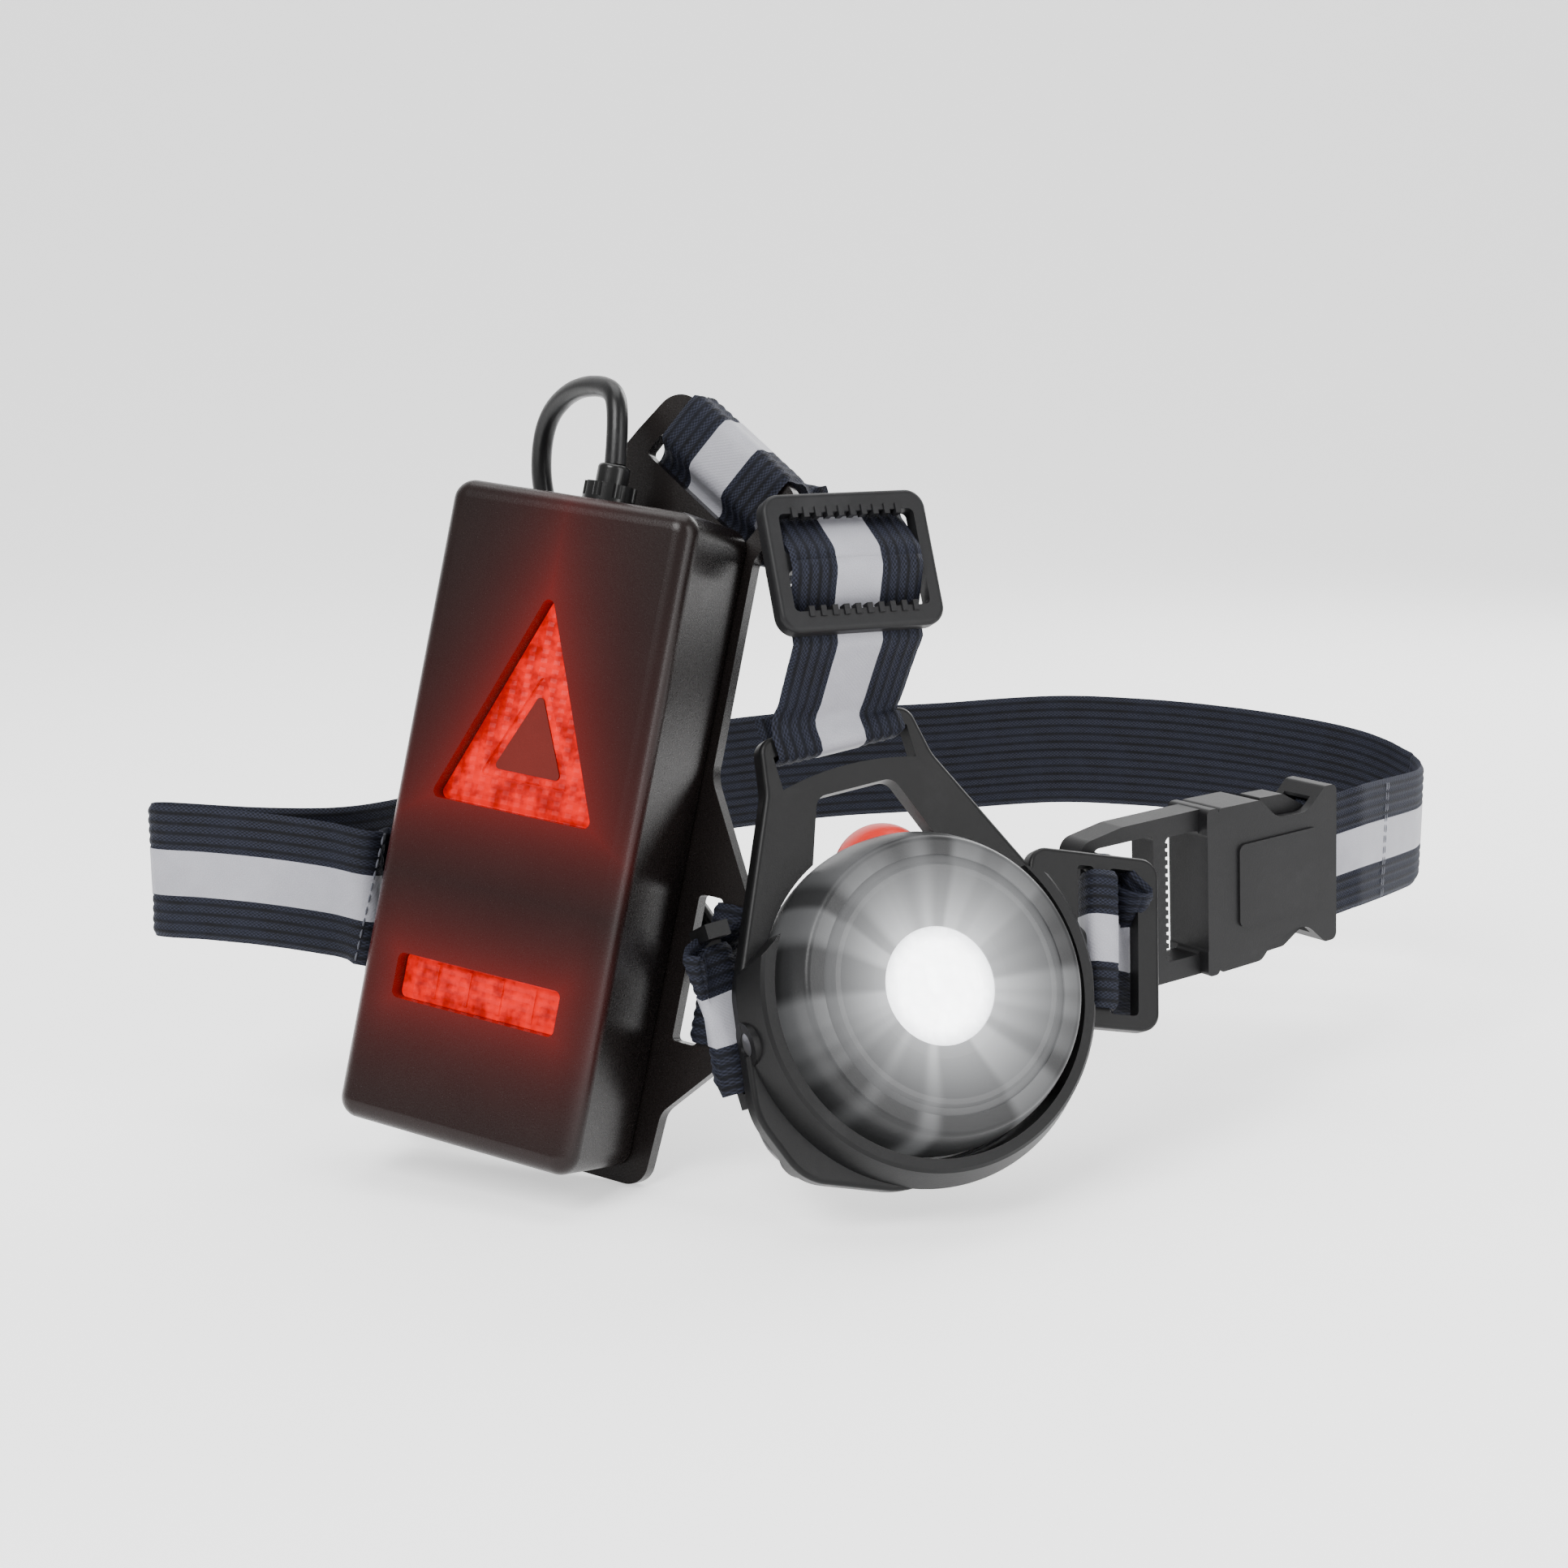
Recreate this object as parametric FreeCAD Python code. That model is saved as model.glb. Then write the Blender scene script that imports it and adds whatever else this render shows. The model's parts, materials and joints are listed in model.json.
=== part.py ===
import FreeCAD, Part
import math
import os

V = FreeCAD.Vector

# A body-worn running light: a front lamp on a chest plate, a battery pack with a red
# warning light, and the elastic harness that joins them.
# Frame: +Z up, +X to the right and -Y to the front when facing the lamp. The origin is
# the wearer's axis: the middle of the belt loop, on the belt's mid-plane. Millimetres.

# ---------------------------------------------------------------- driving sizes
RUN = 0.05            # radial clearance of a turning or sliding fit
GAP = 0.3             # clearance between pieces that only pass each other

# webbing
WEB_W = 25.0
WEB_T = 1.4
WEB_SLOT = WEB_W + 1.4      # length of a slot that takes the webbing

# battery pack (local frame: x right, y to the rear, z up; origin on the front face)
PACK_YAW, PACK_LEAN, PACK_ROLL = -24.8, -13.3, 5.9
PACK_AT = V(-62.8, -78.1, 14.5)
PACK_W = 48.8
PACK_H = 115.2
PACK_COVER_D = 22.0
PACK_WALL = 1.8
PACK_CORNER_R = 3.8
PACK_EDGE_R = 3.4
SEAL_T = 0.6
CARRIER_T = 3.0
CARRIER_LIP = 1.6           # how far the carrier shows past the cover at the sides
CARRIER_DROP = 2.5          # how far it shows below the cover
LENS_SINK = 3.2             # depth of the red lenses below the cover's face
LENS_T = 1.4
LENS_FLANGE = 1.1
TRI_HALF_W = 16.5
TRI_BASE_Z = 1.4
TRI_APEX_Z = 40.8
TRI_IN_HALF_W = 6.9
TRI_IN_BASE_Z = 8.3
TRI_IN_APEX_Z = 23.0
BAR_W = 33.2
BAR_H = 8.0
BAR_Z = -30.6
EAR_REACH = 11.6            # how far a side ear stands out from the carrier
EAR_Z = -20.0               # middle of the side ears
EAR_BAR = 4.8
EAR_SLOT = 4.8
TOP_EAR_X, TOP_EAR_Z = 13.4, 64.0
TOP_EAR_SLANT = -31.0
TOP_EAR_BAR = 8.4
BOSS_R = 3.0
SCREW_R = 1.1
SCREW_HEAD_R = 2.2
BOARD_T = 1.6
LED_T = 1.2
CELL_W, CELL_H, CELL_T = 34.0, 60.0, 8.0
PORT_W, PORT_T, PORT_D = 9.0, 3.2, 7.2
FLAP_W, FLAP_D, FLAP_T = 16.4, 9.4, 1.6
PAD_T = 5.0
PAD_W = 31.0
PAD_X = -5.5

# battery lead
LEAD_D = 3.8
GLAND_X, GLAND_Y = 1.5, 11.0
GLAND_BASE_R, GLAND_BASE_H = 4.7, 3.4
GLAND_NUT_R, GLAND_NUT_H = 2.9, 3.6

# lamp and chest plate (local frame: x right, y to the rear, z up; origin at the middle
# of the bezel's front plane)
LAMP_YAW, LAMP_LEAN, LAMP_ROLL = 22.5, -23.0, -9.0
LAMP_AT = V(12.2, -94.5, -10.1)
PIVOT_Y = 11.5              # pivot axis behind the bezel plane
HEAD_R = 28.0               # the head fits inside this sphere about the pivot
HEAD_HALF_D = 11.9          # from the pivot to the flat front and back
HEAD_WALL = 2.2
BEZEL_R = 22.2
LENS_R = 10.4
PIN_R = 2.0
PLATE_Y = 11.0              # front face of the chest plate
PLATE_T = 3.5
PLATE_HOLE_R = HEAD_R + 0.8
PLATE_R = 31.6
LUG_X, LUG_Z = -27.3, -20.3   # where the battery lead enters the plate's rim
LUG_R = 3.9
LUG_BACK = PLATE_Y + PLATE_T + 4.0
COWL_R = 31.2
COWL_Y = 5.0
COLLAR_R = HEAD_R + 2.0
COLLAR_BACK = 20.0
NECK_TOP_Z = 49.5
TOP_SLOT_Z = 41.6
TOP_SLOT_H = 4.4
WINDOW_Z = 37.4
BAR_GAP = 3.1               # strap gap between the plate and its left rear bar
LEFT_BAR_Z = 5.5
LEFT_BAR_X = -31.8
RIGHT_EAR_SLANT = 20.0
RIGHT_EAR_Z = -1.5
RIGHT_EAR_X = 41.6
BUTTON_R = 6.9
BUTTON_X, BUTTON_Y = 2.0, 15.0
BUTTON_TRAVEL = 1.0

# side-release buckle (local frame: x from the frame towards the socket, origin at the
# socket's mouth)
BUCKLE_YAW, BUCKLE_ROLL = 34.1, -3.4
BUCKLE_AT = V(64.8, -34.6, -7.5)
BUCKLE_H = 32.4
BUCKLE_T = 10.5
SOCKET_L = 31.6
FRAME_L = 32.4
FRAME_BAR = 3.3
FRAME_T = 3.0                # half thickness of the ladder part
SOCKET_WALL = 1.7
PRONG_ROOT_X = 3.4
PRONG_Z = 10.0
PRONG_T = 5.4

# tri-glide strap adjuster
GLIDE_YAW, GLIDE_LEAN, GLIDE_ROLL = 25.5, -23.0, -0.3
GLIDE_AT = V(-3.5, -75.0, 59.0)
GLIDE_W = 31.2
GLIDE_H = 24.4
GLIDE_T = 3.0
GLIDE_BAR = 3.6
GLIDE_MID = 1.4              # half height of the middle bar


# ---------------------------------------------------------------- frames
def frame(yaw, lean, roll, place):
    turn = FreeCAD.Rotation(V(0, 0, 1), yaw)
    turn = turn.multiply(FreeCAD.Rotation(V(1, 0, 0), lean))
    turn = turn.multiply(FreeCAD.Rotation(V(0, 1, 0), roll))
    return FreeCAD.Placement(place, turn)


PACK = frame(PACK_YAW, PACK_LEAN, PACK_ROLL, PACK_AT)
LAMP = frame(LAMP_YAW, LAMP_LEAN, LAMP_ROLL, LAMP_AT)
BUCKLE = frame(BUCKLE_YAW, 0, BUCKLE_ROLL, BUCKLE_AT)
GLIDE = frame(GLIDE_YAW, GLIDE_LEAN, GLIDE_ROLL, GLIDE_AT)
UP = V(0, 0, 1)


def put(shape, place):
    return shape.transformed(place.toMatrix(), True)


# ---------------------------------------------------------------- shape helpers
def box(x0, x1, y0, y1, z0, z1):
    return Part.makeBox(x1 - x0, y1 - y0, z1 - z0, V(x0, y0, z0))


def disc(radius, y0, y1, x=0.0, z=0.0):
    return Part.makeCylinder(radius, y1 - y0, V(x, y0, z), V(0, 1, 0))


def post(radius, z0, z1, x=0.0, y=0.0):
    return Part.makeCylinder(radius, z1 - z0, V(x, y, z0), UP)


def fuse(shapes):
    return shapes[0].multiFuse(shapes[1:]).removeSplitter()


def corner_arc(before, corner, after, radius):
    """The two tangent points and the arc that round one corner of an outline."""
    to_before = (before - corner).normalize()
    to_after = (after - corner).normalize()
    half = to_before.getAngle(to_after) / 2
    reach = radius / math.tan(half)
    middle = (to_before + to_after).normalize()
    centre = corner + middle * (radius / math.sin(half))
    start = corner + to_before * reach
    end = corner + to_after * reach
    return start, centre - middle * radius, end


def outline(points, y=0.0):
    """A closed wire in the XZ plane from (x, z, radius) corners."""
    corners = [V(x, y, z) for x, z, _ in points]
    edges = []
    arcs = []
    count = len(points)
    for i in range(count):
        radius = points[i][2]
        if radius <= 0:
            arcs.append((corners[i], None, corners[i]))
            continue
        arcs.append(corner_arc(corners[i - 1], corners[i], corners[(i + 1) % count], radius))
    for i in range(count):
        start, middle, end = arcs[i]
        if middle is not None:
            edges.append(Part.Arc(start, middle, end).toShape())
        following = arcs[(i + 1) % count][0]
        if (following - end).Length > 1e-6:
            edges.append(Part.makeLine(end, following))
    return Part.Wire(edges)


def prism(points, y0, y1):
    return Part.Face(outline(points, y0)).extrude(V(0, y1 - y0, 0))


def rect(width, height, radius, x=0.0, z=0.0):
    w, h = width / 2, height / 2
    return [(x - w, z - h, radius), (x + w, z - h, radius), (x + w, z + h, radius), (x - w, z + h, radius)]


def mirrored(points):
    """Mirror the right-hand half of an outline to close it on the left."""
    return points + [(-x, z, r) for x, z, r in reversed(points)]


def spin(points):
    """Revolve (radius, y) points about the local y axis."""
    wire = Part.makePolygon([V(r, y, 0) for r, y in points + points[:1]])
    return Part.Face(wire).revolve(V(0, 0, 0), V(0, 1, 0), 360)


def turned(shape, angle, x, z):
    """Turn a local shape in its own XZ plane; a positive angle leans its top to +x."""
    turn = FreeCAD.Placement(V(0, 0, 0), FreeCAD.Rotation(V(0, 1, 0), angle), V(x, 0, z))
    return shape.transformed(turn.toMatrix(), True)


def round_front(shape, y, radius):
    """Round the edges that lie in the front plane at this depth."""
    edges = []
    for edge in shape.Edges:
        if all(abs(v.Point.y - y) < 1e-6 for v in edge.Vertexes):
            edges.append(edge)
    return shape.makeFillet(radius, edges)


# ---------------------------------------------------------------- webbing
def ribbon_rings(stations, width=WEB_W, thick=WEB_T):
    """The four corners of the webbing at every (centre, width direction) station."""
    rings = []
    last = len(stations) - 1
    for i, (centre, across) in enumerate(stations):
        ahead = stations[min(i + 1, last)][0] - stations[max(i - 1, 0)][0]
        across = V(across).normalize()
        normal = ahead.cross(across).normalize()
        w = across * (width / 2)
        n = normal * (thick / 2)
        rings.append([centre - w - n, centre + w - n, centre + w + n, centre - w + n])
    return rings


def ribbon(rings):
    """A closed faceted solid through the rings."""
    first, end = rings[0], rings[-1]
    faces = [[first[0], first[1], first[2]], [first[0], first[2], first[3]]]
    for a, b in zip(rings, rings[1:]):
        for k in range(4):
            m = (k + 1) % 4
            faces.append([a[k], b[k], b[m]])
            faces.append([a[k], b[m], a[m]])
    faces.append([end[0], end[2], end[1]])
    faces.append([end[0], end[3], end[2]])
    solid = Part.makeSolid(Part.makeShell([Part.Face(Part.makePolygon(f + f[:1])) for f in faces]))
    if solid.Volume < 0:
        solid.reverse()
    return solid


def local_stations(place, points, z, across=UP):
    """Stations at one height of a local frame, from (x, y) points."""
    direction = place.Rotation.multVec(across)
    return [(place.multVec(V(x, y, z)), direction) for x, y in points]


def wrap(x, y, radius, first, last, steps):
    """(x, y) points round a bar; angles in degrees from +x towards +y."""
    points = []
    for i in range(steps + 1):
        angle = math.radians(first + (last - first) * i / steps)
        points.append((x + radius * math.cos(angle), y + radius * math.sin(angle)))
    return points


# ---------------------------------------------------------------- battery pack
def triangle(half_w, base_z, apex_z, radius, grow=0.0):
    """An upright triangle's corners, grown outwards by one distance."""
    side = math.hypot(half_w, apex_z - base_z)
    rise = grow * side / half_w
    slope = (apex_z - base_z) / half_w
    low = base_z - grow
    high = apex_z + rise
    half = (high - low) / slope
    return [(-half, low, radius), (half, low, radius), (0, high, radius)]


def cover_blank(inset, front):
    radius = PACK_CORNER_R - inset
    block = prism(rect(PACK_W - 2 * inset, PACK_H - 2 * inset, radius), front, PACK_COVER_D)
    return round_front(block, front, PACK_EDGE_R - inset)


LENS_FRONT = LENS_SINK
LENS_BACK = LENS_SINK + LENS_T
BOARD_FRONT = LENS_BACK + LED_T + 2.2
SCREW_X = PACK_W / 2 - PACK_WALL - BOSS_R - 0.7
SCREW_Z = PACK_H / 2 - PACK_WALL - BOSS_R - 0.7
SCREW_SPOTS = [(sx * SCREW_X, sz * SCREW_Z) for sx in (-1, 1) for sz in (-1, 1)]
BOARD_Z0, BOARD_Z1 = BAR_Z - BAR_H / 2 - 2.0, 46.0
BOARD_W = 31.0
CHARGE_Z0 = -PACK_H / 2 + 2 * PACK_WALL + 0.2
CHARGE_Z1 = BOARD_Z0 - 1.2
CHARGE_Y = BOARD_FRONT + 1.5
PORT_Y0 = CHARGE_Y + BOARD_T
FLAP_Y = PORT_Y0 + PORT_T / 2
FLAP_AXIS_Y = FLAP_Y - FLAP_D / 2 + FLAP_T / 2
FLAP_AXIS_Z = -PACK_H / 2 + FLAP_T / 2
CELL_Y = BOARD_FRONT + BOARD_T + 1.0
CARRIER_Y = PACK_COVER_D + SEAL_T
CARRIER_BACK = CARRIER_Y + CARRIER_T


def pack_cover():
    shell = cover_blank(0, 0).cut(cover_blank(PACK_WALL, PACK_WALL))
    collars = [
        prism(triangle(TRI_HALF_W, TRI_BASE_Z, TRI_APEX_Z, 1.6, 1.4), PACK_WALL - 0.4, LENS_FRONT + 0.6),
        prism(rect(BAR_W + 2.8, BAR_H + 2.8, 2.0, 0, BAR_Z), PACK_WALL - 0.4, LENS_FRONT + 0.6),
    ]
    bosses = [disc(BOSS_R, PACK_WALL - 0.4, PACK_COVER_D, x, z) for x, z in SCREW_SPOTS]
    standoffs = [disc(1.8, PACK_WALL - 0.4, BOARD_FRONT, x, z)
                 for x in (-BOARD_W / 2 + 2.5, BOARD_W / 2 - 2.5) for z in (BAR_Z + BAR_H / 2 + 5, BOARD_Z1 - 2.5)]
    charge_posts = [disc(1.6, PACK_WALL - 0.4, CHARGE_Y, x, (CHARGE_Z0 + CHARGE_Z1) / 2) for x in (-11, 11)]
    floor = box(-FLAP_W / 2 - 1.4, FLAP_W / 2 + 1.4, FLAP_Y - FLAP_D / 2 - 1.4, FLAP_Y + FLAP_D / 2 + 1.4,
                -PACK_H / 2 + 0.5, -PACK_H / 2 + FLAP_T + PACK_WALL)
    body = fuse([shell, floor] + collars + bosses + standoffs + charge_posts)
    cuts = [prism(triangle(TRI_HALF_W, TRI_BASE_Z, TRI_APEX_Z, 1.2), -1, LENS_BACK),
            prism(rect(BAR_W, BAR_H, 1.2, 0, BAR_Z), -1, LENS_BACK)]
    cuts += [disc(SCREW_R + RUN, 8, PACK_COVER_D + 1, x, z) for x, z in SCREW_SPOTS]
    cuts.append(box(-FLAP_W / 2 - 0.1, FLAP_W / 2 + 0.1, FLAP_Y - FLAP_D / 2 - 0.1, FLAP_Y + FLAP_D / 2 + 0.1,
                    -PACK_H / 2 - 1, -PACK_H / 2 + FLAP_T + 0.05))
    cuts.append(box(-PORT_W / 2 - GAP, PORT_W / 2 + GAP, PORT_Y0 - GAP, PORT_Y0 + PORT_T + GAP,
                    -PACK_H / 2 - 1, CHARGE_Z0 + 1))
    cuts.append(post(LEAD_D / 2, PACK_H / 2 - PACK_WALL - 1, PACK_H / 2 + 1, GLAND_X, GLAND_Y))
    return body.cut(Part.makeCompound(cuts))


def lens_with_flange(face, flange):
    lip = prism(face, LENS_FRONT, LENS_BACK)
    base = prism(flange, LENS_FRONT + 0.6, LENS_BACK)
    return fuse([lip, base])


def triangle_lens():
    ring = prism(triangle(TRI_HALF_W, TRI_BASE_Z, TRI_APEX_Z, 1.2), LENS_FRONT, LENS_BACK)
    hole = prism(triangle(TRI_IN_HALF_W, TRI_IN_BASE_Z, TRI_IN_APEX_Z, 0.8), LENS_FRONT - 1, LENS_BACK + 1)
    step = prism(triangle(TRI_IN_HALF_W, TRI_IN_BASE_Z, TRI_IN_APEX_Z, 0.8, 1.5), LENS_FRONT - 1, LENS_FRONT + 0.5)
    foot = prism(triangle(TRI_HALF_W, TRI_BASE_Z, TRI_APEX_Z, 1.2, LENS_FLANGE), LENS_BACK, LENS_BACK + 0.8)
    return fuse([ring, foot]).cut(hole).cut(step)


def triangle_insert():
    shape = triangle(TRI_IN_HALF_W, TRI_IN_BASE_Z, TRI_IN_APEX_Z, 0.8)
    return prism(shape, LENS_FRONT + 0.2, LENS_BACK + 0.8)


def bar_lens():
    face = prism(rect(BAR_W, BAR_H, 1.2, 0, BAR_Z), LENS_FRONT, LENS_BACK)
    foot = prism(rect(BAR_W + 2 * LENS_FLANGE, BAR_H + 2 * LENS_FLANGE, 1.2, 0, BAR_Z), LENS_BACK, LENS_BACK + 0.8)
    ribs = []
    for i in range(1, 5):
        x = -BAR_W / 2 + BAR_W * i / 5
        ribs.append(box(x - 0.4, x + 0.4, LENS_FRONT - 0.4, LENS_FRONT + 0.2, BAR_Z - BAR_H / 2 + 1, BAR_Z + BAR_H / 2 - 1))
    return fuse([face, foot] + ribs)


def rear_led_board():
    return prism(rect(BOARD_W, BOARD_Z1 - BOARD_Z0, 1.0, 0, (BOARD_Z0 + BOARD_Z1) / 2), BOARD_FRONT, BOARD_FRONT + BOARD_T)


def rear_leds():
    ring_z = (TRI_BASE_Z + TRI_IN_BASE_Z) / 2
    spots = [(x, ring_z) for x in (-11, -3.7, 3.7, 11)]
    spots += [(-6.6, 19.5), (6.6, 19.5), (0, 31)]
    spots += [(x, BAR_Z) for x in (-12, -4, 4, 12)]
    return Part.makeCompound([box(x - 1.7, x + 1.7, BOARD_FRONT - LED_T, BOARD_FRONT, z - 1.4, z + 1.4) for x, z in spots])


def battery_cell():
    return prism(rect(CELL_W, CELL_H, 2.0, 0, 10), CELL_Y, CELL_Y + CELL_T)


def cell_foam():
    front = box(-13, 13, BOARD_FRONT + BOARD_T, CELL_Y, -15, 35)
    back = box(-14, 14, CELL_Y + CELL_T, CARRIER_Y, -14, 34)
    return Part.makeCompound([front, back])


def charge_board():
    return box(-14, 14, CHARGE_Y, CHARGE_Y + BOARD_T, CHARGE_Z0, CHARGE_Z1)


def usb_port():
    low = -PACK_H / 2 + FLAP_T + 0.4
    shell = box(-PORT_W / 2, PORT_W / 2, PORT_Y0, PORT_Y0 + PORT_T, low, low + PORT_D)
    mouth = box(-PORT_W / 2 + 0.35, PORT_W / 2 - 0.35, PORT_Y0 + 0.35, PORT_Y0 + PORT_T - 0.35, low - 1, low + PORT_D - 1.2)
    tongue = box(-3.2, 3.2, PORT_Y0 + PORT_T / 2 - 0.35, PORT_Y0 + PORT_T / 2 + 0.35, low + 0.6, low + PORT_D - 1.2)
    return fuse([shell.cut(mouth), tongue])


def usb_flap():
    plate = box(-FLAP_W / 2, FLAP_W / 2, FLAP_AXIS_Y, FLAP_Y + FLAP_D / 2, -PACK_H / 2, -PACK_H / 2 + FLAP_T)
    knuckle = Part.makeCylinder(FLAP_T / 2, FLAP_W, V(-FLAP_W / 2, FLAP_AXIS_Y, FLAP_AXIS_Z), V(1, 0, 0))
    notch = Part.makeCylinder(1.6, 6, V(-3, FLAP_Y + FLAP_D / 2 + 0.6, -PACK_H / 2 - 0.6), V(1, 0, 0))
    return fuse([plate, knuckle]).cut(notch)


def pack_seal():
    outer = rect(PACK_W - 0.8, PACK_H - 0.8, PACK_CORNER_R - 0.4)
    inner = rect(PACK_W - 2 * PACK_WALL, PACK_H - 2 * PACK_WALL, PACK_CORNER_R - PACK_WALL)
    ring = prism(outer, PACK_COVER_D, CARRIER_Y).cut(prism(inner, PACK_COVER_D - 1, CARRIER_Y + 1))
    holes = [disc(BOSS_R + GAP, PACK_COVER_D - 1, CARRIER_Y + 1, x, z) for x, z in SCREW_SPOTS]
    return ring.cut(Part.makeCompound(holes))


def carrier_outline():
    side = PACK_W / 2 + CARRIER_LIP
    ear = side + EAR_REACH
    low, high = EAR_Z - WEB_SLOT / 2 - 3, EAR_Z + WEB_SLOT / 2 + 0.5
    foot = -PACK_H / 2 - CARRIER_DROP
    right = [(side + 1.8, foot, 4), (side + 2.6, low - 10, 4), (ear, low, 4), (ear, high, 4), (side, high + 20, 8)]
    left = [(-x, z, r) for x, z, r in reversed(right)]
    lean = math.radians(TOP_EAR_SLANT)
    along = V(math.cos(lean), 0, math.sin(lean))
    out = V(-math.sin(lean), 0, math.cos(lean))
    edge = V(TOP_EAR_X, 0, TOP_EAR_Z) + out * (EAR_SLOT / 2 + TOP_EAR_BAR)
    high_end = edge - along * (WEB_SLOT / 2 + 3.4)
    low_end = edge + along * (WEB_SLOT / 2 + 3.4)
    top = [(side, low_end.z - 12, 4), (low_end.x, low_end.z, 4), (high_end.x, high_end.z, 5),
           (high_end.x - 6.5, high_end.z - 9, 6), (-11.5, PACK_H / 2, 3), (-side, PACK_H / 2, 6)]
    return right + top + left


def pack_carrier():
    plate = prism(carrier_outline(), CARRIER_Y, CARRIER_BACK)
    slot_x = PACK_W / 2 + CARRIER_LIP + EAR_REACH - EAR_BAR - EAR_SLOT / 2
    cuts = [prism(rect(EAR_SLOT, WEB_SLOT, 0.9, sx * slot_x, EAR_Z), 0, 40) for sx in (-1, 1)]
    top = prism(rect(WEB_SLOT, EAR_SLOT, 0.9, TOP_EAR_X, TOP_EAR_Z), 0, 40)
    cuts.append(turned(top, -TOP_EAR_SLANT, TOP_EAR_X, TOP_EAR_Z))
    for x, z in SCREW_SPOTS:
        cuts.append(disc(SCREW_R + RUN, 0, 40, x, z))
        cuts.append(disc(SCREW_HEAD_R + RUN, CARRIER_BACK - 1.5, 40, x, z))
    return plate.cut(Part.makeCompound(cuts))


def pack_screws():
    screws = []
    for x, z in SCREW_SPOTS:
        head = disc(SCREW_HEAD_R, CARRIER_BACK - 1.5, CARRIER_BACK, x, z)
        cross = Part.makeCompound([box(x - 1.3, x + 1.3, CARRIER_BACK - 0.8, 40, z - 0.25, z + 0.25),
                                   box(x - 0.25, x + 0.25, CARRIER_BACK - 0.8, 40, z - 1.3, z + 1.3)])
        screws.append(fuse([head, disc(SCREW_R, 10, CARRIER_BACK - 1, x, z)]).cut(cross))
    return Part.makeCompound(screws)


def back_pad():
    pad = prism(rect(PAD_W, 62, 8, PAD_X, 6), CARRIER_BACK, CARRIER_BACK + PAD_T)
    grooves = [box(-30, 40, CARRIER_BACK + PAD_T - 1.2, 60, z - 1.0, z + 1.0) for z in (-8, 6, 20)]
    return pad.cut(Part.makeCompound(grooves))


def gland_base():
    top = PACK_H / 2
    base = post(GLAND_BASE_R, top, top + GLAND_BASE_H, GLAND_X, GLAND_Y)
    notches = [post(LEAD_D / 2, top - 1, top + GLAND_BASE_H + 1, GLAND_X, GLAND_Y)]
    for i in range(8):
        angle = math.radians(45 * i)
        x = GLAND_X + (GLAND_BASE_R + 0.5) * math.cos(angle)
        y = GLAND_Y + (GLAND_BASE_R + 0.5) * math.sin(angle)
        notches.append(post(1.0, top + 0.9, top + GLAND_BASE_H + 1, x, y))
    return base.cut(Part.makeCompound(notches))


def gland_nut():
    low = PACK_H / 2 + GLAND_BASE_H
    nut = post(GLAND_NUT_R, low, low + GLAND_NUT_H, GLAND_X, GLAND_Y)
    top_edges = [e for e in nut.Edges if abs(e.BoundBox.ZMin - low - GLAND_NUT_H) < 1e-6]
    nut = nut.makeFillet(0.8, top_edges)
    return nut.cut(post(LEAD_D / 2, low - 1, low + GLAND_NUT_H + 1, GLAND_X, GLAND_Y))


# ---------------------------------------------------------------- battery lead
def lead_route():
    """The lead from the gland, down the pack's back and across to the chest plate."""
    top = PACK_H / 2 + GLAND_BASE_H + GLAND_NUT_H
    pack = [V(GLAND_X, GLAND_Y, top), V(0.4, GLAND_Y, top + 9), V(-3.5, 13.5, top + 14.2), V(-15.5, 20, top + 13.8),
            V(-24.2, 26.5, top + 7), V(-23.5, 30.2, top - 7), V(-13.0, 30.0, top - 17), V(8.0, 29.0, top - 22),
            V(16.0, 28.6, top - 40), V(16.5, 29.5, -4), V(30.0, 34.0, -16)]
    lamp = [V(-26.5, 31.0, -8), V(LUG_X, 27, LUG_Z), V(LUG_X, LUG_BACK - 3, LUG_Z)]
    return [PACK.multVec(p) for p in pack] + [LAMP.multVec(p) for p in lamp]


def rounded_path(points):
    """Straight runs joined by the largest tangent arcs that the runs allow."""
    edges = []
    start = points[0]
    for before, corner, after in zip(points, points[1:], points[2:]):
        run = min((corner - before).Length, (after - corner).Length)
        to_before = (before - corner).normalize()
        to_after = (after - corner).normalize()
        half_turn = (math.pi - to_before.getAngle(to_after)) / 2
        radius = 0.45 * run / math.tan(half_turn)
        middle = (to_before + to_after).normalize()
        centre = corner + middle * (radius / math.cos(half_turn))
        entry = corner + to_before * (0.45 * run)
        leave = corner + to_after * (0.45 * run)
        edges.append(Part.makeLine(start, entry))
        edges.append(Part.Arc(entry, centre - middle * radius, leave).toShape())
        start = leave
        print("lead arc radius %.1f turn %.0f run %.0f" % (radius, 2 * math.degrees(half_turn), run))
    edges.append(Part.makeLine(start, points[-1]))
    return Part.Wire(edges)


def tube(points, diameter):
    path = rounded_path(points)
    circle = Part.makeCircle(diameter / 2, points[0], points[1] - points[0])
    solid = path.makePipeShell([Part.Wire(circle)], True, False)
    expected = math.pi * diameter * diameter / 4 * path.Length
    print("lead length %.1f volume %.1f expected %.1f" % (path.Length, solid.Volume, expected))
    return solid


# ---------------------------------------------------------------- chest plate
def right_ear_shape(width, height, radius, dx=0.0):
    block = prism(rect(width, height, radius, RIGHT_EAR_X + dx, RIGHT_EAR_Z), PLATE_Y + 0.4, PLATE_Y + PLATE_T)
    return turned(block, RIGHT_EAR_SLANT, RIGHT_EAR_X, RIGHT_EAR_Z)


def cut_slot(width, height, dx):
    block = prism(rect(width, height, 0.9, RIGHT_EAR_X + dx, RIGHT_EAR_Z), -20, 40)
    return turned(block, RIGHT_EAR_SLANT, RIGHT_EAR_X, RIGHT_EAR_Z)


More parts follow.
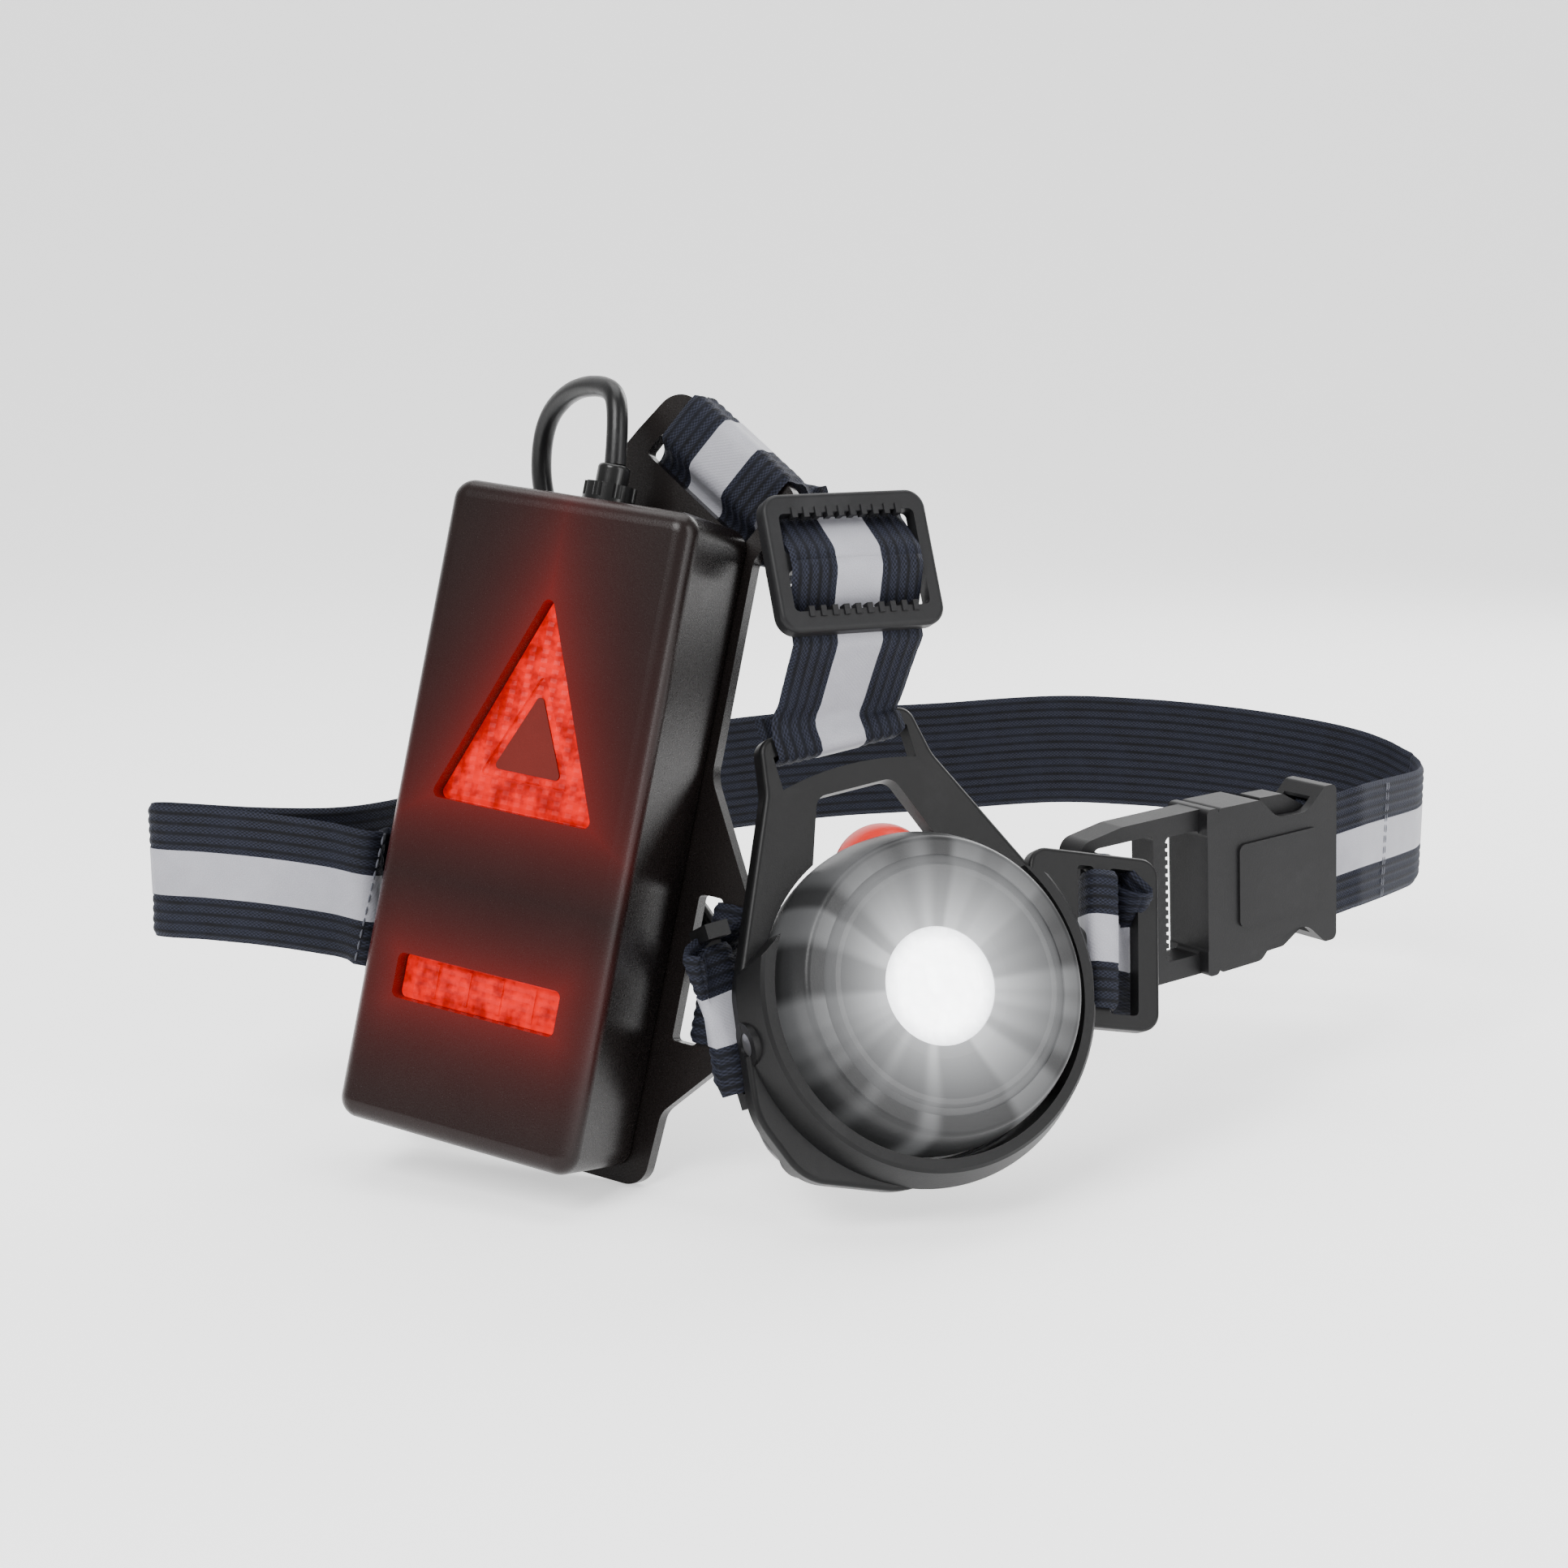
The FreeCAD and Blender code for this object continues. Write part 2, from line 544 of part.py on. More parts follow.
EAR_OUT_X = 7.6             # outer edge of the right ear from its middle
EAR_OUTER_BAR = 4.4
EAR_INNER_BAR = 3.0
EAR_WINDOW = 5.8
EAR_INNER_SLOT = 3.4


def top_slot():
    """A slot whose lower edge is a shallow arch."""
    half = WEB_SLOT / 2
    side = TOP_SLOT_Z - 1.6
    top = TOP_SLOT_Z + TOP_SLOT_H
    arch = Part.Arc(V(-half, -20, side), V(0, -20, TOP_SLOT_Z), V(half, -20, side)).toShape()
    sides = [V(half, -20, side), V(half, -20, top), V(-half, -20, top), V(-half, -20, side)]
    return Part.Face(Part.Wire([arch] + Part.makePolygon(sides).Edges)).extrude(V(0, 60, 0))


def cowl():
    """The raised rim that carries the pivots, open at the top for the button."""
    back = PLATE_Y + 0.5
    ring = spin([(PLATE_HOLE_R, COWL_Y), (COWL_R - 0.6, COWL_Y), (COWL_R, COWL_Y + 0.6), (COWL_R + 2.2, back), (PLATE_HOLE_R, back)])
    keep = prism([(-40, -40, 0), (40, -40, 0), (40, 6, 0), (24, 16, 0), (-24, 16, 0), (-40, 6, 0)], 0, 40)
    return ring.common(keep)


def plate_outline():
    """Round about the head, with a lobe at the lower left that carries the lead's lug."""
    lower = [(12, -PLATE_R - 0.2, 18), (PLATE_R, -13.1, 30), (32, 9, 14)]
    neck = [(16.6, 40, 8), (14.8, NECK_TOP_Z, 3), (-14.8, NECK_TOP_Z, 3), (-16.6, 40, 8), (-32, 9, 14)]
    lobe = [(-35.4, -12, 12), (-30.5, -24.5, 10), (-14, -PLATE_R + 0.4, 14)]
    return lower + neck + lobe


def collar():
    """A cup behind the plate that closes the gap round the head's lower half."""
    centre = V(0, PIVOT_Y, 0)
    cup = Part.makeSphere(COLLAR_R, centre).cut(Part.makeSphere(HEAD_R + 0.45, centre))
    cup = cup.common(box(-40, 40, PLATE_Y + 1, COLLAR_BACK, -40, 40))
    return cup.common(prism([(-23, -40, 0), (40, -40, 0), (40, -3, 0), (20, -3, 0), (-23, -12, 0)], 0, 60))


def chest_plate():
    base = round_front(prism(plate_outline(), PLATE_Y, PLATE_Y + PLATE_T), PLATE_Y, 0.9)
    ear = round_front(right_ear_shape(26, WEB_SLOT + 5.2, 3.5, EAR_OUT_X - 13), PLATE_Y + 0.4, 0.8)
    bar_y = PLATE_Y + PLATE_T + BAR_GAP
    rear_bar = box(LEFT_BAR_X - 2.1, LEFT_BAR_X + 2.1, bar_y, bar_y + 2.8,
                   LEFT_BAR_Z - WEB_SLOT / 2 - 2.6, LEFT_BAR_Z + WEB_SLOT / 2 + 2.6)
    legs = [box(LEFT_BAR_X - 2.1, LEFT_BAR_X + 2.1, PLATE_Y + 1, bar_y + 2.8, z - 1.3, z + 1.3)
            for z in (LEFT_BAR_Z - WEB_SLOT / 2 - 1.3, LEFT_BAR_Z + WEB_SLOT / 2 + 1.3)]
    bosses = [Part.makeCylinder(3.8, 4.4, V(sx * PLATE_HOLE_R, PIVOT_Y, 0), V(sx, 0, 0)) for sx in (-1, 1)]
    lug = disc(LUG_R, PLATE_Y + 0.5, LUG_BACK - 1.2, LUG_X, LUG_Z)
    body = fuse([base, ear, rear_bar, cowl(), collar(), lug] + legs + bosses)
    window = [(-14.5, 20, 0), (14.5, 20, 0), (7.5, WINDOW_Z, 2.5), (-7.5, WINDOW_Z, 2.5)]
    cuts = [disc(PLATE_HOLE_R, -20, PLATE_Y + PLATE_T - 1), disc(PLATE_HOLE_R - 0.3, 0, PLATE_Y + PLATE_T)]
    cuts += [prism(window, -20, 60), top_slot()]
    out = EAR_OUT_X - EAR_OUTER_BAR
    cuts.append(cut_slot(EAR_WINDOW, WEB_SLOT, out - EAR_WINDOW / 2))
    cuts.append(cut_slot(EAR_INNER_SLOT, WEB_SLOT, out - EAR_WINDOW - EAR_INNER_BAR - EAR_INNER_SLOT / 2))
    cuts += [Part.makeCylinder(PIN_R, 12, V(sx * 26, PIVOT_Y, 0), V(sx, 0, 0)) for sx in (-1, 1)]
    cuts.append(disc(LEAD_D / 2, LUG_BACK - 3.4, 60, LUG_X, LUG_Z))
    return body.cut(Part.makeCompound(cuts))


def lead_grommet():
    ring = disc(LUG_R - 0.4, LUG_BACK - 1.2, LUG_BACK, LUG_X, LUG_Z)
    return ring.cut(disc(LEAD_D / 2, 0, 60, LUG_X, LUG_Z))


def pivot_pins():
    pins = [Part.makeCylinder(PIN_R, 8.0, V(sx * 25.0, PIVOT_Y, 0), V(sx, 0, 0)) for sx in (-1, 1)]
    return Part.makeCompound(pins)


# ---------------------------------------------------------------- lamp head
def head_blank(shrink, y0, y1):
    ball = Part.makeSphere(HEAD_R - shrink, V(0, PIVOT_Y, 0))
    return ball.common(disc(60, y0, y1))


HEAD_FRONT = PIVOT_Y - HEAD_HALF_D
HEAD_BACK = PIVOT_Y + HEAD_HALF_D
INNER_R = 24.4
BEZEL_BACK = 3.2
HEAD_SCREWS = [(20.6 * math.cos(math.radians(a)), 20.6 * math.sin(math.radians(a))) for a in (150, 270, 30)]


def pivot_sockets():
    return [Part.makeCylinder(PIN_R + RUN, 8, V(sx * 24.6, PIVOT_Y, 0), V(sx, 0, 0)) for sx in (-1, 1)]


def socket_bosses():
    return [Part.makeCylinder(4.2, 6.2, V(sx * 21.0, PIVOT_Y, 0), V(sx, 0, 0)) for sx in (-1, 1)]


def head_shell():
    blank = head_blank(0, HEAD_FRONT, PIVOT_Y)
    blank = round_front(blank, HEAD_FRONT, 1.2)
    hollow = [disc(BEZEL_R, -5, BEZEL_BACK), disc(19.8, -5, 5), disc(INNER_R, 5, PIVOT_Y + 1)]
    body = blank.cut(fuse(hollow))
    bosses = [disc(2.6, 4.5, PIVOT_Y, x, z) for x, z in HEAD_SCREWS]
    half = disc(HEAD_R - 0.6, 4.5, PIVOT_Y)
    body = fuse([body] + bosses + [b.common(half) for b in socket_bosses()])
    cuts = [disc(0.95 + RUN, 6, 30, x, z) for x, z in HEAD_SCREWS] + pivot_sockets()
    cuts.append(post(BUTTON_R + GAP, 20, 40, BUTTON_X, BUTTON_Y))
    cuts.append(disc(27.0, PIVOT_Y - 0.6, 40).cut(disc(25.6, PIVOT_Y - 1, 41)))
    return body.cut(Part.makeCompound(cuts))


def head_seal():
    ring = disc(27.0, PIVOT_Y - 0.6, PIVOT_Y).cut(disc(25.6, PIVOT_Y - 1, 41))
    return ring.cut(Part.makeCompound(pivot_sockets() + [post(BUTTON_R + 1.5, 20, 40, BUTTON_X, BUTTON_Y)]))


def head_back():
    blank = head_blank(0, PIVOT_Y, HEAD_BACK)
    body = blank.cut(disc(INNER_R, PIVOT_Y - 1, HEAD_BACK - HEAD_WALL))
    posts = [disc(2.6, PIVOT_Y, HEAD_BACK - 1, x, z) for x, z in HEAD_SCREWS]
    half = disc(HEAD_R - 0.6, PIVOT_Y, HEAD_BACK - 1)
    shelf = box(-7, 10, 9.5, HEAD_BACK - 1, 15.0, 16.4)
    stands = [disc(1.5, 20.0, HEAD_BACK - 1, x, z) for x, z in ((-8, -6), (8, -6), (0, 9))]
    body = fuse([body, shelf] + posts + stands + [b.common(half) for b in socket_bosses()])
    cuts = [disc(0.95 + RUN, 6, 30, x, z) for x, z in HEAD_SCREWS] + pivot_sockets()
    cuts += [disc(1.9, HEAD_BACK - 1.4, 40, x, z) for x, z in HEAD_SCREWS]
    cuts.append(post(BUTTON_R + GAP, 20, 40, BUTTON_X, BUTTON_Y))
    return body.cut(Part.makeCompound(cuts))


def head_screws():
    screws = []
    for x, z in HEAD_SCREWS:
        head = disc(1.8, HEAD_BACK - 1.4, HEAD_BACK - 0.2, x, z)
        screws.append(fuse([head, disc(0.95, 6.4, HEAD_BACK - 1, x, z)]))
    return Part.makeCompound(screws)


def bezel_ring():
    profile = [(LENS_R - 0.2, BEZEL_BACK - 0.9), (LENS_R - 0.2, 1.9), (12.4, 1.5), (19.4, -0.9), (20.3, -0.9), (20.9, -0.2),
               (BEZEL_R, 0.1), (BEZEL_R, BEZEL_BACK), (LENS_R + 1.3, BEZEL_BACK), (LENS_R + 1.3, BEZEL_BACK - 0.9)]
    return spin(profile)


def lamp_lens():
    edge = LENS_R + 1.2
    dome = Part.makeSphere(26, V(0, 27.2, 0)).common(disc(LENS_R - 0.25, -5, BEZEL_BACK - 0.9))
    return fuse([dome, disc(edge, BEZEL_BACK - 0.9, BEZEL_BACK)])


def reflector():
    outer = [(19.5, BEZEL_BACK), (19.5, BEZEL_BACK + 1.0), (10.6, BEZEL_BACK + 1.0), (4.6, 9.6), (3.0, 9.6),
             (9.6, BEZEL_BACK)]
    return spin(outer)


def white_led():
    base = disc(2.6, 8.8, 9.6)
    dome = Part.makeSphere(1.7, V(0, 8.8, 0)).common(disc(3, 6, 8.8))
    return fuse([base, dome])


def led_board():
    star = disc(9.0, 9.6, 11.2)
    bites = [disc(1.6, 9, 12, 9.0 * math.cos(math.radians(a)), 9.0 * math.sin(math.radians(a))) for a in range(0, 360, 60)]
    return star.cut(Part.makeCompound(bites))


def heat_sink():
    body = disc(13.0, 11.2, 17.0)
    slots = [box(-14, 14, 13.0, 18, z - 0.7, z + 0.7) for z in (-9, -6, -3, 0, 3, 6, 9)]
    return body.cut(Part.makeCompound(slots))


def driver_board():
    return disc(13.5, 18.4, 20.0)


def button_cap():
    crown_z = 27.4
    height = 3.4
    ball_r = (BUTTON_R ** 2 + height ** 2) / (2 * height)
    stem = post(BUTTON_R, 22.6, crown_z, BUTTON_X, BUTTON_Y)
    ball = Part.makeSphere(ball_r, V(BUTTON_X, BUTTON_Y, crown_z + height - ball_r))
    dome = ball.common(post(BUTTON_R, crown_z, crown_z + 10, BUTTON_X, BUTTON_Y))
    hollow = post(BUTTON_R - 1.3, 20, 25.6, BUTTON_X, BUTTON_Y)
    nub = post(1.6, 21.9, 26.2, BUTTON_X, BUTTON_Y)
    return fuse([fuse([stem, dome]).cut(hollow), nub])


def tact_switch():
    low = 16.4
    body = box(BUTTON_X - 3, BUTTON_X + 3, BUTTON_Y - 3, BUTTON_Y + 3, low, low + 3.4)
    return fuse([body, post(1.5, low + 3, 20.8, BUTTON_X, BUTTON_Y)])


# ---------------------------------------------------------------- buckle
def buckle_socket():
    h = BUCKLE_H / 2
    half_t = BUCKLE_T / 2
    side = [(0, -h, 1.2), (11, -h + 0.2, 2), (15.5, -11.8, 5), (23.5, -11.4, 5), (28.4, -h + 0.4, 1.0), (SOCKET_L, -h + 0.4, 1.4)]
    points = side + [(x, -z, r) for x, z, r in reversed(side)]
    block = prism(points, -half_t, half_t)
    inside = h - SOCKET_WALL
    cavity = box(-1, 26.2, -3.4, 3.4, -inside, inside)
    strap_way = box(26.0, SOCKET_L + 1, -3.2, 3.2, -WEB_SLOT / 2, WEB_SLOT / 2)
    panel = prism(rect(21, 16.4, 1.5, 15.5, 0), -half_t - 0.5, -half_t + 0.1)
    pin = post(1.3, -WEB_SLOT / 2 - 0.5, WEB_SLOT / 2 + 0.5, 28.9, 0)
    shell = block.cut(fuse([cavity, strap_way]))
    return fuse([shell, panel, pin])


def buckle_frame():
    h = BUCKLE_H / 2
    rail_in = WEB_SLOT / 2
    flange = prism(rect(3.0, BUCKLE_H + 0.4, 1.0, -1.5, 0), -BUCKLE_T / 2 - 0.1, BUCKLE_T / 2 + 0.1)
    side = [(-1, -h, 0), (-1, h, 0), (-22, h, 4), (-FRAME_L, h - 1.6, 3), (-FRAME_L, -h + 1.6, 3), (-22, -h, 4)]
    ladder = prism(side, -FRAME_T, FRAME_T)
    windows = [prism(rect(8.6, WEB_SLOT - 2, 1.2, -7.2, 0), -20, 20), prism(rect(14.6, WEB_SLOT, 1.2, -FRAME_L + FRAME_BAR + 7.3, 0), -20, 20)]
    teeth = []
    for i in range(14):
        z = -rail_in + 2.6 + i * (WEB_SLOT - 5.2) / 13
        teeth.append(box(-11.8, -10.9, -3.0, -1.6, z - 0.45, z + 0.45))
    tongue = prism([(-1, -2.6, 0), (18, -2.2, 0), (21, -1.0, 0.5), (21, 1.0, 0.5), (18, 2.2, 0), (-1, 2.6, 0)], -2.6, 2.6)
    roots = [box(-1, 1.8, -PRONG_T / 2, PRONG_T / 2, sz * PRONG_Z - 1.8, sz * PRONG_Z + 1.8) for sz in (-1, 1)]
    body = fuse([ladder, flange, tongue] + roots)
    return fuse([body.cut(Part.makeCompound(windows))] + teeth)


def buckle_prong(sign):
    """One spring arm with its release pad; sign +1 is the upper one."""
    z = PRONG_Z
    arm = [(PRONG_ROOT_X, z - 1.3, 0), (14, z - 2.6, 3), (24.5, z - 1.4, 0.8), (25.4, z + 2.0, 1.2), (19.5, z + 5.4, 2.5),
           (13.3, z + 5.6, 0.4), (13.3, z + 1.4, 0.4), (PRONG_ROOT_X, z + 1.3, 0)]
    shape = prism(arm, -PRONG_T / 2, PRONG_T / 2)
    knuckle = disc(1.5, -PRONG_T / 2, PRONG_T / 2, PRONG_ROOT_X, z)
    prong = fuse([shape, knuckle])
    if sign < 0:
        prong = prong.mirror(V(0, 0, 0), UP)
    return prong


# ---------------------------------------------------------------- tri-glide
def tri_glide():
    h = GLIDE_H / 2
    blank = prism(rect(GLIDE_W, GLIDE_H, 3.4), -GLIDE_T / 2, GLIDE_T / 2)
    blank = round_front(blank, -GLIDE_T / 2, 0.9)
    width = WEB_W + 0.8
    tall = h - GLIDE_BAR - GLIDE_MID
    windows = [prism(rect(width, tall, 1.0, 0, sz * (GLIDE_MID + tall / 2)), -20, 20) for sz in (-1, 1)]
    body = blank.cut(Part.makeCompound(windows))
    teeth = []
    for i in range(10):
        x = -9.9 + i * 2.2
        for sz in (-1, 1):
            z = sz * (h - GLIDE_BAR + 0.1)
            teeth.append(box(x - 0.5, x + 0.5, -GLIDE_T / 2 - 0.35, 0, z - 0.9, z + 0.9))
    return fuse([body] + teeth)


# ---------------------------------------------------------------- straps
HALF_T = WEB_T / 2
TOUCH = HALF_T + 0.15       # webbing mid-plane to the bar that it lies on


def hug(corner, first, last):
    """(x, y) points that take the webbing round one corner of a bar."""
    return wrap(corner[0], corner[1], TOUCH, first, last, 3)


def side_ear_loop(side):
    """The webbing round the bar of a side ear, from its sewn tail to the front."""
    outer = side * (PACK_W / 2 + CARRIER_LIP + EAR_REACH)
    inner = outer - side * EAR_BAR
    tail = [(outer - side * 0.6, CARRIER_BACK + TOUCH)]
    if side > 0:
        turns = hug((inner, CARRIER_BACK), 90, 180) + hug((inner, CARRIER_Y), 180, 270)
    else:
        turns = hug((inner, CARRIER_BACK), 90, 0) + hug((inner, CARRIER_Y), 0, -90)
    return tail + turns + [(outer, CARRIER_Y - TOUCH)]


def rows(points):
    return [(V(*point), UP) for point in points]


def belt_stations():
    """The belt from the pack's left ear, round the wearer, towards the buckle."""
    stations = local_stations(PACK, side_ear_loop(-1), EAR_Z)
    near = [(-90.2, -56.5, -4.6), (-98, -55.2, -3.2), (-110, -53.6, -1.8), (-122, -52.4, -0.9), (-128.6, -51.6, -0.7)]
    fold = [(-131.4, -49.9, -0.8), (-131.6, -47.6, -1.0), (-128.8, -46.0, -1.3)]
    side = [(-112, -44.2, -2.6), (-98, -39.5, -3.4), (-86, -27.5, -3.4), (-74, -9, -3.0), (-60, 13, -2.2)]
    back = [(-42, 34, -1.2), (-25.7, 46, -0.7), (-4, 55.5, -0.1), (19.2, 61, 0.2), (47.5, 64.6, 1.4), (68, 64.8, 0.6)]
    right = [(84.9, 62.8, -0.7), (101, 59.5, -2.6), (113, 55.5, -4.6), (120, 49.5, -6.4), (123.6, 41.0, -7.6)]
    return stations + rows(near + fold + side + back + right)


def belt_end_stations():
    """The last stretch of the belt and its sewn loop round the socket's pin."""
    way = rows([(123.4, 32.0, -7.9), (121.6, 25.0, -7.8), (118.2, 17.5, -7.4)])
    pin_x = SOCKET_L - 2.7
    loop = [(44.0, 0.0), (38.0, -0.9)] + wrap(pin_x, 0, 1.3 + TOUCH, -80, -280, 6) + [(34.0, 1.0)]
    return way + local_stations(BUCKLE, loop, 0)


def link_stations():
    """The short strap between the pack's right ear and the plate's rear bar."""
    stations = local_stations(PACK, side_ear_loop(1), EAR_Z)
    near, far = LEFT_BAR_X - 2.1, LEFT_BAR_X + 2.1
    low_y = PLATE_Y + PLATE_T + BAR_GAP
    high_y = low_y + 2.8
    hook = [(near - 2.4, low_y - TOUCH + 0.3)] + hug((far, low_y), -90, 0) + hug((far, high_y), 0, 90)
    hook.append((near - 1.0, high_y + TOUCH))
    return stations + local_stations(LAMP, hook, LEFT_BAR_Z)


def slanted_stations(points):
    """Stations beside the slanted right ear, from (x, y) points in the ear's frame."""
    slant = math.radians(RIGHT_EAR_SLANT)
    across = LAMP.Rotation.multVec(V(math.sin(slant), 0, math.cos(slant)))
    stations = []
    for x, y in points:
        place = V(RIGHT_EAR_X + x * math.cos(slant), y, RIGHT_EAR_Z - x * math.sin(slant))
        stations.append((LAMP.multVec(place), across))
    return stations


def buckle_strap_stations():
    """The strap from the plate's right ear to the buckle frame's last bar."""
    right = EAR_OUT_X - EAR_OUTER_BAR - EAR_WINDOW
    left = right - EAR_INNER_BAR
    front, back = PLATE_Y, PLATE_Y + PLATE_T
    ear = [(right + 0.6, back + TOUCH)] + hug((left, back), 90, 180) + hug((left, front), 180, 270)
    ear += hug((right, front), -90, -20)
    ear += [(right + 3.2, back + 1.3), (EAR_OUT_X - EAR_OUTER_BAR + 1.0, back + 2.4)]
    bar_x = -FRAME_L + FRAME_BAR
    hold = [(bar_x + 1.4, -FRAME_T - 3.6)] + hug((bar_x, -FRAME_T), -40, 0) + hug((bar_x, FRAME_T), 0, 90)
    hold += [(-FRAME_L + 0.4, FRAME_T + TOUCH)]
    return slanted_stations(ear) + local_stations(BUCKLE, hold, 0)


def upright_stations(place, points):
    """Stations of webbing that climbs, from (z, y) points and the frame's x as width."""
    across = place.Rotation.multVec(V(1, 0, 0))
    return [(place.multVec(V(0, y, z)), across) for z, y in points]


def glide_half(side):
    """(z, y) points from the tri-glide's middle, over its bar and behind the end bar."""
    end_bar = GLIDE_H / 2 - GLIDE_BAR
    half = GLIDE_T / 2
    run = V(end_bar - GLIDE_MID, 2 * half, 0)
    lift = math.degrees(math.asin(2 * TOUCH / run.Length)) + math.degrees(math.atan2(run.y, run.x))
    over = hug((GLIDE_MID, -half), -90, -90 + lift)
    under = hug((end_bar, half), 90 + lift, 90)
    return [(side * z, y) for z, y in [(0, -half - TOUCH)] + over + under]


def between(before, after, steps, sag):
    """Stations that carry the webbing from one to the next, turning it evenly."""
    stations = []
    for i in range(1, steps + 1):
        t = i / (steps + 1)
        centre = before[0] * (1 - t) + after[0] * t + sag * (4 * t * (1 - t))
        stations.append((centre, before[1] * (1 - t) + after[1] * t))
    return stations


def shoulder_lower_stations():
    """The shoulder strap from the plate's top slot to the tri-glide's middle."""
    slot_top = TOP_SLOT_Z + TOP_SLOT_H
    back = PLATE_Y + PLATE_T
    hem = [(NECK_TOP_Z + 4, back + TOUCH + 0.3), (NECK_TOP_Z, back + TOUCH)]
    hem += hug((slot_top, back), 90, 180) + hug((slot_top, PLATE_Y), 180, 270)
    hem += [(NECK_TOP_Z + 0.5, PLATE_Y - TOUCH)]
    lower = upright_stations(LAMP, hem)
    half = GLIDE_T / 2 + TOUCH
    upper = upright_stations(GLIDE, [(-GLIDE_H / 2 - 1.0, half + 0.2), (-GLIDE_H / 2, half)] + glide_half(-1)[::-1])
    return lower + between(lower[-1], upper[0], 3, V(0, 0.6, 0)) + upper


UPPER_LOOP = [(-4.8, -61.0, 56.6), (-6.0, -54.3, 54.8), (-11.2, -47.5, 56.6), (-17.0, -42.8, 61.2),
              (-19.3, -40.8, 66.5), (-19.8, -41.4, 71.8), (-19.6, -44.6, 75.9)]


def shoulder_upper_stations():
    """The shoulder strap from the tri-glide's middle, back in a loop, and through the top ear."""
    half = GLIDE_T / 2 + TOUCH
    top = GLIDE_H / 2
    curl = [(top - 2.2, half + 0.5), (top - 1.2, half + 2.0), (top - 2.4, half + 3.8), (top - 6.0, half + 4.8)]
    lower = upright_stations(GLIDE, glide_half(1) + curl)
    lean = math.radians(TOP_EAR_SLANT)
    across = PACK.Rotation.multVec(V(math.cos(lean), 0, math.sin(lean)))
    out = V(-math.sin(lean), 0, math.cos(lean))
    near, far = EAR_SLOT / 2, EAR_SLOT / 2 + TOP_EAR_BAR
    fold = [(far + TOUCH + 0.3, CARRIER_BACK + 2.0), (far + TOUCH, CARRIER_BACK)] + hug((far, CARRIER_Y), 0, -90)
    fold += hug((near, CARRIER_Y), -90, -180)
    fold += [(-0.6, CARRIER_BACK + 0.6), (-2.2, CARRIER_BACK + 1.5), (-6, CARRIER_BACK + 1.4), (-10, CARRIER_BACK + 1.2)]
    ear = [(PACK.multVec(V(TOP_EAR_X, y, TOP_EAR_Z) + out * d), across) for d, y in fold]
    loop = []
    for i, (x, y, z) in enumerate(UPPER_LOOP):
        t = (i + 0.5) / len(UPPER_LOOP)
        loop.append((V(x, y, z), lower[-1][1] * (1 - t) + across * t))
    return lower + loop + ear


def two_ribbons(first, second):
    """One length of webbing as two solids that share the face between them."""
    rings = ribbon_rings(first + second)
    cut = len(first)
    return ribbon(rings[:cut + 1]), ribbon(rings[cut:])


# ---------------------------------------------------------------- assembly
def build():
    nodes = {}
    for maker in (pack_cover, triangle_lens, triangle_insert, bar_lens, rear_led_board, rear_leds, battery_cell, cell_foam,
                  charge_board, usb_port, usb_flap, pack_seal, pack_carrier, pack_screws, back_pad, gland_base, gland_nut):
        nodes[maker.__name__] = put(maker(), PACK)
    for maker in (chest_plate, lead_grommet, pivot_pins, head_shell, head_seal, head_back, head_screws, bezel_ring, lamp_lens, reflector, white_led,
                  led_board, heat_sink, driver_board, button_cap, tact_switch):
        nodes[maker.__name__] = put(maker(), LAMP)
    nodes["buckle_socket"] = put(buckle_socket(), BUCKLE)
    nodes["buckle_frame"] = put(buckle_frame(), BUCKLE)
    nodes["buckle_prong_upper"] = put(buckle_prong(1), BUCKLE)
    nodes["buckle_prong_lower"] = put(buckle_prong(-1), BUCKLE)
    nodes["tri_glide"] = put(tri_glide(), GLIDE)
    nodes["belt_strap"], nodes["belt_end"] = two_ribbons(belt_stations(), belt_end_stations())
    nodes["link_strap"] = ribbon(ribbon_rings(link_stations()))
    nodes["buckle_strap"] = ribbon(ribbon_rings(buckle_strap_stations()))
    lower, upper = shoulder_lower_stations(), shoulder_upper_stations()
    nodes["shoulder_strap_lower"], nodes["shoulder_strap_upper"] = two_ribbons(lower[:-1], upper)
    nodes["battery_lead"] = tube(lead_route(), LEAD_D)
    return nodes


os.makedirs("parts", exist_ok=True)
for name, shape in build().items():
    shape.exportStep("parts/%s.step" % name)
    print("%-22s volume %9.1f valid %s solids %d" % (name, shape.Volume, shape.isValid(), len(shape.Solids)))
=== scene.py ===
import json
import math
import random

import bmesh
import bpy
from mathutils import Matrix, Vector


